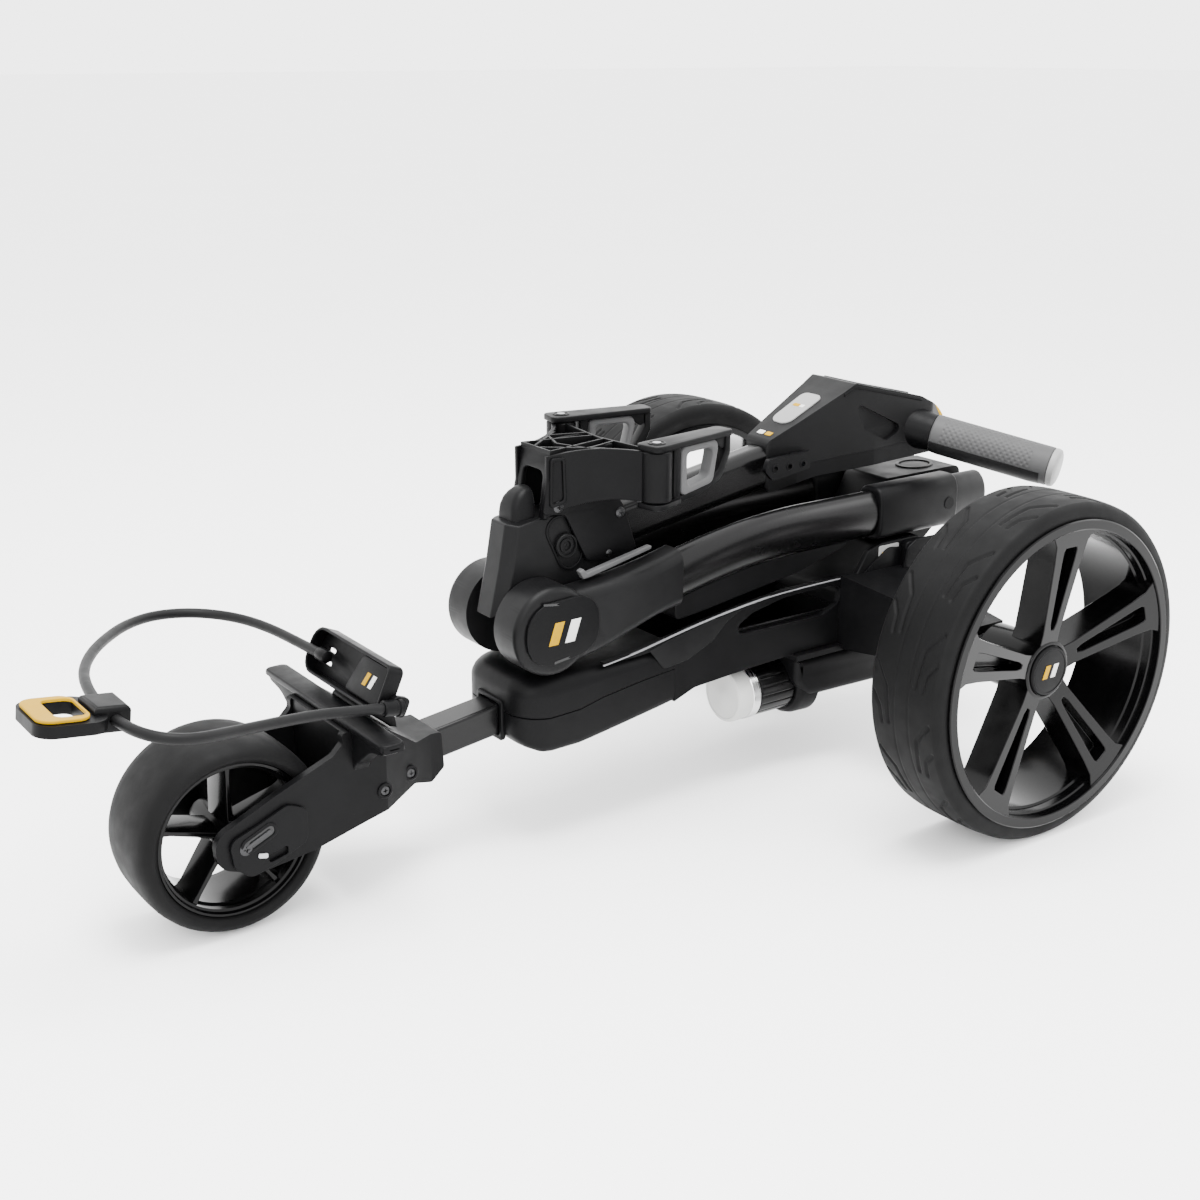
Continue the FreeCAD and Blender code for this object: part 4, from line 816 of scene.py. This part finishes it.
# ---------------- elbows
hinge = middle_of("mid_hinge_pin")
for side, label in SIDES:
    cover = [(hinge.x + 30, hinge.z + 26, 25.5), (hinge.x - 42, hinge.z + 30, 22),
             (hinge.x - 42, hinge.z - 20, 22), (hinge.x + 30, hinge.z - 31, 25.5)]
    piece = plate("elbow_cover_" + label, [cover], *span(side, 57, 59.8), "frame", BLACK, 0.7)
    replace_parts(piece, "elbow_covers")
    for index, (dx, dz, lean) in enumerate(((6, 26, radians(8)), (-4, -24, radians(-8)))):
        at = frame_of((hinge.x + dx, side * 59.7, hinge.z + dz), (cos(lean), 0, sin(lean)), UP)
        slot_outline = rectangle(-8, -1.1, 8, 1.1, 1)
        plate("cover_slot_%s_%d" % (label, index), [slot_outline], -0.3, 0.3, "frame", "screen", 0.15, "z",
              at)
    buffer = [(37, 231, 1), (41, 238, 1), (37, 240, 1), (33, 235.8), (-34, 248.8, 2), (-34, 245.6, 2),
              (30, 231.6)]
    piece = plate("elbow_strip_" + label, [buffer], *span(side, 35, 41), "frame", "pale_plastic", 0.7,
                  material=materials["pad"])
    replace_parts(piece, "elbow_buffers")
    marks("elbow_mark_" + label, "frame", frame_of((hinge.x - 6, 0, hinge.z), (-side, 0, 0), UP), 1.9, 59.7)


# ---------------- handle bracket
def key_ring(z, front, half, corner):
    """Level section of the release button, whose back is flat."""
    back = 66.3
    outline = [(back, -half, 2), (front, -half, corner), (front, half, corner), (back, half, 2)]
    return [(p.x, p.y, z) for p in rounded(outline, 6)]


KEY_SECTIONS = ((266.5, 87.7, 14, 6), (286, 87.7, 14, 6), (293, 86.8, 13.6, 6.5), (299, 84.4, 12.6, 7),
                (303.5, 80.8, 10.8, 7), (306.6, 76, 8, 4.5), (308, 72, 4.5, 3))
piece = loft("release_key", [key_ring(*row) for row in KEY_SECTIONS], "release", BLACK, angle=50)
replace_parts(piece, "release_button")
# Side view of the knuckle in its middle, and on its cheeks, where the front face leans back.
KNUCKLE = [(85.8, 224), (110.8, 202), (101, 244), (94.5, 281), (62, 284), (10.6, 284), (2.4, 235), (40, 216)]
KNUCKLE_SIDE = [(85.8, 224), (101.5, 208), (93, 244), (86.5, 279.5), (62, 284), (10.6, 284), (2.4, 235),
                (40, 216)]
sections = ((-20, KNUCKLE_SIDE), (-11, KNUCKLE), (11, KNUCKLE), (20, KNUCKLE_SIDE))
rings = [[(x, y, z) for x, z in outline] for y, outline in sections]
piece = loft("knuckle_body", rings, "handle", slot_of_node["knuckle_arm"], 1.6, angle=14, segments=3)
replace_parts(piece, "knuckle_arm")
# Plan of the bracket's curved wall, from its front to the wing's pivot.
WALL_PATH = [(62, 24.5), (52, 25.2), (42, 26.4), (34, 29), (26, 33), (18, 39), (11, 46), (4, 54.5), (-2, 64),
             (-7, 74), (-11, 81.5)]
WALL_THICKNESS = 3.6
WING_PIVOT = (-16, 70)        # x and distance from the middle plane


def wall_rings(side):
    """Sections of the flared wall: low and high edges of its outer and inner faces."""
    rings = []
    last = len(WALL_PATH) - 1
    for index, (x, y) in enumerate(WALL_PATH):
        before = Vector(WALL_PATH[max(0, index - 1)])
        after = Vector(WALL_PATH[min(last, index + 1)])
        run = (after - before).normalized()
        inward = Vector((-run.y, run.x))
        if inward.x >= 0:
            inward = -inward
        share = index / last
        bottom = 284 + 13.2 * min(1, share * 1.6) ** 0.7
        top = 336 + 3.9 * min(1, share * 2)
        inner = Vector((x, y)) + inward * WALL_THICKNESS
        rings.append([(x, side * y, bottom), (x, side * y, top), (inner.x, side * inner.y, top),
                      (inner.x, side * inner.y, bottom)])
    return rings


for side, label in SIDES:
    loft("bracket_wall_" + label, wall_rings(side), "handle", BLACK, 0.8, angle=40)
    cheek = [(66, 287, 3), (61, 312, 4), (54, 336, 3), (-4, 339, 2), (-4, 300, 4), (-16, 284, 8),
             (-30, 243, 4), (-8, 236, 4), (22, 240, 8), (44, 284, 8)]
    piece = plate("bracket_cheek_" + label, [cheek], *span(side, 20.3, 25), "handle", BLACK, 1.0)
    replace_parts(piece, "support_bracket")
    barrel = [(297.1, 3.7), (297.1, 12), (298.2, 13), (338.8, 13), (340, 12), (340, 3.7)]
    pivot = (WING_PIVOT[0], side * WING_PIVOT[1], 0)
    turned("bracket_barrel_" + label, barrel, pivot, UP, "handle", BLACK)
    pocket_at = frame_of((60, side * 24.8, 292), (-0.996, side * 0.09, 0), UP)
    frame_line = [(0, 0, 3), (16, 3, 4), (14.5, 42, 3), (1, 42, 3)]
    frame_hole = [(2.6, 3.4, 2), (13, 5.6, 3), (12, 39.6, 2), (3.4, 39.6, 2)]
    plate("wall_pocket_" + label, [frame_line, frame_hole], *span(side, -1.0, 1.8), "handle", BLACK, 0.7, "z",
          pocket_at)
    for part, x, z, radius in (("bracket", 51, 292, 5), ("cheek", -12, 278, 4.6), ("stem", 0, 244, 3)):
        screw("%s_screw_%s" % (part, label), (x, side * 25, z), (0, side, 0), radius, "handle")
    ring = [(-5, 0), (-5, 10.5), (0, 10.5), (0.8, 9.8), (0.8, 8.6), (-1.2, 8.2), (-1.2, 6.6), (-0.2, 6.2),
            (-0.2, 4.4), (-2, 4), (-2, 1.5), (-1, 0)]
    turned("spring_boss_" + label, ring, (42, side * 23.6, 257), (0, side, 0), "handle", GRAPHITE, 48)
    at = frame_of((42, side * 20, 259), (0.42, 0, 0.91), (-0.91 * side, 0, 0.42 * side))
    lip = [rectangle(-26, -13.5, 26, 13.5, 13), rectangle(-23.4, -11, 23.4, 11, 10.8)]
    plate("boss_lip_" + label, lip, -1.2, 1.6, "handle", BLACK, 0.7, "z", at)

front = frame_of((63, 0, 284), LEFTWARD, (-0.15, 0, 1))
frame_outline = [(-24.5, -2, 3), (-15, -2), (-15, 38, 7), (15, 38, 7), (15, -2), (24.5, -2, 3), (24.5, 53, 5),
                 (-24.5, 53, 5)]
plate("bracket_front", [frame_outline], -2.5, 2, "handle", BLACK, 1.2, "z", front)
deck = [(56, 22), (42, 23), (34, 25), (26, 29), (18, 35), (10, 42), (2, 52), (-6, 64), (-14, 66), (-14, 58),
        (-8, 30), (-6, 0)]
deck += [(x, -y) for x, y in reversed(deck[:-1])]
plate("bracket_deck", [deck], 327, 329.5, "handle", BLACK, 0.3, "z")
RIBS = [((56, 21), (-6, 8)), ((56, 3), (13, 38)), ((24, 30), (-8, 20)), ((-6, 0), (-14, 62)),
        ((56, 0), (56, 22)), ((36, 0), (25, 29))]


def rib(name, start, end):
    """Upright rib on the bracket's deck, from one (x, y) to another."""
    start, end = Vector(start), Vector(end)
    run = end - start
    at = frame_of((start.x, start.y, 334), (run.x, run.y, 0), (-run.y, run.x, 0))
    plate(name, [rectangle(0, -1.1, run.length, 1.1)], -6, 5.6, "handle", BLACK, 0.35, "z", at)


for index, (start, end) in enumerate(RIBS):
    for side, label in SIDES:
        if side > 0 or start[1] or end[1]:
            rib("rib_%s_%d" % (label, index), (start[0], side * start[1]), (end[0], side * end[1]))

# ---------------- wings
# Parts of one wing: name, low and high, bevel, axis and outline, measured from its pivot.
WING_PARTS = (
    ("top", 340.4, 345.6, 1.1, "z",
     [(-86, -10, 5), (-86, 10, 5), (0, 13, 40), (13, 13, 12.5), (13, -13, 12.5), (0, -13, 40)]),
    ("low", 291.5, 296.4, 1.0, "z",
     [(-24, -8, 5), (-24, 8, 5), (0, 13, 30), (13, 13, 12.5), (13, -13, 12.5), (0, -13, 30)]),
    ("arm", -6.5, 6.5, 1.2, "y",
     [(-14, 291.6), (-14, 296.6), (-46, 300.5, 30), (-70, 311, 16), (-80, 328, 8), (-80, 341), (-86, 341),
      (-86, 325, 8), (-76, 304, 18), (-48, 294.5, 30)]),
    ("post", 296, 341, 0.6, "z", rectangle(-24, -6, -15.5, 6, 2)),
    ("brace", -5, 5, 0.6, "y",
     [(-80, 331), (-80, 341), (-20, 341), (-20, 337.5), (-64, 337.5, 10), (-76, 329, 4)]),
)
for side, label in SIDES:
    pivot = (WING_PIVOT[0], side * WING_PIVOT[1], 0)
    at = Matrix.Translation(pivot) @ Matrix.Rotation(radians(side * 10), 4, "Z")
    body = label + "_wing"
    for part, low, high, bevel, axis, outline in WING_PARTS:
        piece = plate("wing_%s_%s" % (part, label), [outline], low, high, body, BLACK, bevel, axis, at)
        if part == "top":
            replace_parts(piece, "wing_" + label)
    eye = [(345.4, 0), (345.4, 7.5), (346.2, 7.5), (346.4, 6.6), (345.8, 6), (345.8, 4.6), (346.3, 4.2),
           (346.3, 0)]
    turned("wing_eye_" + label, eye, pivot, UP, body, GRAPHITE, 40)
    outer = [(-64, 302, 8), (-24.4, 297, 5), (-24.4, 340, 5), (-72, 340, 8)]
    window = [(-59, 309, 5), (-31, 304.5, 4), (-31, 333, 4), (-65, 333, 5)]
    piece = plate("pad_frame_" + label, [outer, window], -6, 7, body, "pad", 2.2, "y", at)
    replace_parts(piece, "wing_pad_" + label)

# ---------------- console and grips
SLOPE = Vector((79, 0, -38)).normalized()
badge_at = frame_of((-230, 0, 336.6), SLOPE, LEFTWARD)
badge = [(-24, -13, 7), (24, -12, 9), (24, 12, 9), (-24, 13, 7)]
plate("console_badge", [badge], -0.6, 1.3, "handle", "pale_plastic", 0.6, "z", badge_at)
plate("badge_bar", [rectangle(-6, -7, -2, 1, 0.8)], 1.2, 1.6, "handle", "yellow", 0.15, "z", badge_at)
plate("badge_bar_pale", [rectangle(-6, 2, -2, 7, 0.8)], 1.2, 1.6, "handle", "pale_plastic", 0.15, "z",
      badge_at, white_print)
nose_at = frame_of((-192.5, 0, 318.6), SLOPE, LEFTWARD)
for index, (start, slot, material) in enumerate(((-9, "pale_plastic", white_print), (1.5, "yellow", None))):
    plate("nose_bar_%d" % index, [rectangle(-3, start, 2, start + 8, 0.8)], -0.1, 0.4, "handle", slot, 0.12,
          "z", nose_at, material)
recess = [(-276, 342, 3), (-337, 312, 5), (-314, 302, 4), (-288, 315, 5)]
cutters = [plate_mesh([recess], *span(side, 28.5, 45), 0.01, "y") for side, label in SIDES]
# Upper edge of the console on one side: x, distance from the middle plane, height.
TOP_LINE = [(-263, 27.8, 351.6), (-275, 29.2, 357.6), (-280, 29.8, 357.4), (-300, 32.2, 352.6),
            (-330, 33.2, 345.2), (-357, 34.2, 338.6)]
for side, label in SIDES:
    band = [[(x, side * (y - 3), z - 0.6), (x, side * (y + 1.3), z - 0.8), (x, side * (y + 1.3), z - 3.6),
             (x, side * (y - 3), z - 4.6)] for x, y, z in TOP_LINE]
    loft("console_rim_" + label, band, "handle", BLACK, 0.6)
softened("console_upper_shell", 1.3, 3, cutters=cutters)
softened("console_lower_shell", 0.9, 2)
for x in (-180, -197, -213):
    turned("tab_eye_%d" % -x, [(0, 2.5), (0, 4), (0.6, 3.8), (0.7, 2.5)], (x, 30.9, 293), LEFTWARD, "handle",
           BLACK, 32)
turned("tab_pip", [(-0.4, 0), (-0.4, 2.5), (0.2, 2.4), (0.2, 0)], (-213, 30.9, 293), LEFTWARD, "handle",
       "screen", 32)


def dimples(along, radius, turn):
    """Staggered dimples over the top and sides of a grip."""
    if not 62 < along < 150 or radius < 17 or cos(turn) < -0.35:
        return 0.0
    row = along / 2.9
    column = degrees(turn) / 10.0
    u, v = (row + column) / 2, (row - column) / 2
    return -0.6 * max(0.0, cos(2 * pi * u) * 0.5 + cos(2 * pi * v) * 0.5)


def dial_knurl(along, radius, turn):
    """Notches round the dial's rim."""
    return -0.5 * abs(sin(18 * turn)) ** 0.5 if radius > 18.4 else 0


for side, label in SIDES:
    heading = Vector((-0.4435, side * 0.8786, -0.1757))
    middle = Vector((-342.3, 0, 314))      # where the two grips' axes meet
    rows = 190
    profile = [(52.1, 11.1), (52.1, 17), (52.8, 17.8)]
    profile += [(54 + 111 * k / rows, 18) for k in range(rows + 1)]
    profile += [(165.6, 17.6), (165.9, 17), (165.9, 11.1)]
    grip = turned("dotted_grip_" + label, profile, middle, heading, "handle", "grip", 180, dimples, angle=60)
    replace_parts(grip, "grip_" + label)
    under = [(53, 16.5), (53, 18.3), (60, 18.9), (150, 18.9), (160, 18.3), (160, 16.5)]
    turned("grip_keel_" + label, under, middle, heading, "handle", GRAPHITE, 48, None, (104, 256),
           dark_rubber)
    end = [(166, 0), (166, 17), (166.6, 17.8), (169, 18), (171.6, 17.2), (173, 14.5), (173, 0)]
    cap = turned("grip_end_" + label, end, middle, heading, "handle", "pale_plastic", 64)
    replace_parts(cap, "grip_caps")

DIAL_CENTRE = (-395, 0, 304)
DIAL_LEAN = radians(72)       # from upright
dial_axis = (-sin(DIAL_LEAN), 0, cos(DIAL_LEAN))
dial = [(3, 11.1), (3, 18), (3.8, 18.7), (6, 19), (10, 19), (12.2, 18.5), (13, 17.4), (13, 12), (12.4, 11.1)]
piece = turned("dial_wheel", dial, DIAL_CENTRE, dial_axis, "dial_ring", "yellow", 144, dial_knurl)
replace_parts(piece, "speed_dial")
key = [(-8, 0), (-8, 4.9), (2, 4.9), (2, 10.9), (15, 10.9), (15.8, 10.2), (15.9, 9), (15.2, 5), (15, 0)]
piece = turned("dial_key", key, DIAL_CENTRE, dial_axis, "dial_press", slot_of_node["dial_button"], 64)
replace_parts(piece, "dial_button")

# ---------------- motor
motor = Vector((0, 22, 83))


def can_grooves(along, radius, turn):
    """Narrow grooves along the motor's can."""
    return -0.7 if radius > 25.5 and abs(sin(9 * turn)) > 0.97 else 0


for name, node, slot, steps, warp, material, profile in (
        ("motor_can", "motor_body", "black_tube", 144, can_grooves, None,
         [(-214, 0), (-214, 25.6), (-161, 25.6), (-159, 25.2), (-157.1, 24.4), (-157.1, 0)]),
        ("motor_ring", "motor_band", "silver", 96, None, None,
         [(-157, 0), (-157, 25.9), (-156.3, 26.4), (-148.6, 26.4), (-148, 25.9), (-148, 0)]),
        ("motor_end", "motor_end_cap", "pale_plastic", 96, None, frosted,
         [(-147.9, 0), (-147.9, 25.6), (-135, 26), (-132.6, 25.2), (-131.6, 23), (-132.4, 22),
          (-132.4, 8), (-131.8, 7), (-131.8, 0)])):
    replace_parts(turned(name, profile, motor, FORWARD, "chassis", slot, steps, warp, material=material), node)
collar = [(-222, 24), (-222, 33), (-206, 32.4), (-201, 30.8), (-198.6, 28), (-198.6, 25.9), (-204, 25.9)]
turned("motor_collar", collar, motor, FORWARD, "chassis", BLACK, 96)

# ---------------- floor and light
FLOOR = 40                    # metres from the middle to each edge
floor_mesh = bpy.data.meshes.new("floor")
corners = [(-FLOOR, -FLOOR, 0), (FLOOR, -FLOOR, 0), (FLOOR, FLOOR, 0), (-FLOOR, FLOOR, 0)]
floor_mesh.from_pydata(corners, [], [(0, 1, 2, 3)])
floor = bpy.data.objects.new("floor", floor_mesh)
scene.collection.objects.link(floor)
floor_material, tree, shader = new_material("pale_floor")
shade(tree, shader, noise(tree, object_coords(tree), 2.0), (0.9, 0.9, 0.9), (0.93, 0.93, 0.93))
set_inputs(shader, {"Roughness": 0.8, "Specular IOR Level": 0.1})
floor.data.materials.append(floor_material)


def area_light(name, position, target, width, power):
    """Square light of a width in metres and a power in watts, aimed at a point."""
    light = bpy.data.lights.new(name, "AREA")
    light.shape = "RECTANGLE"
    light.size = width
    light.size_y = width
    light.energy = power
    obj = bpy.data.objects.new(name, light)
    obj.location = position
    obj.rotation_euler = (Vector(target) - Vector(position)).to_track_quat("-Z", "Y").to_euler()
    scene.collection.objects.link(obj)


area_light("top", (0.1, 0.3, 2.3), (0, 0, 0.1), 1.2, 120)
area_light("side", (1.6, 1.4, 1.5), (0, 0, 0.2), 0.8, 20)
area_light("rear", (-1.8, 0.9, 1.3), (-0.2, 0, 0.2), 0.8, 12)
world = bpy.data.worlds.new("studio")
world.use_nodes = True
set_inputs(world.node_tree.nodes["Background"], {"Color": (1, 1, 1, 1), "Strength": 4.2})
scene.world = world
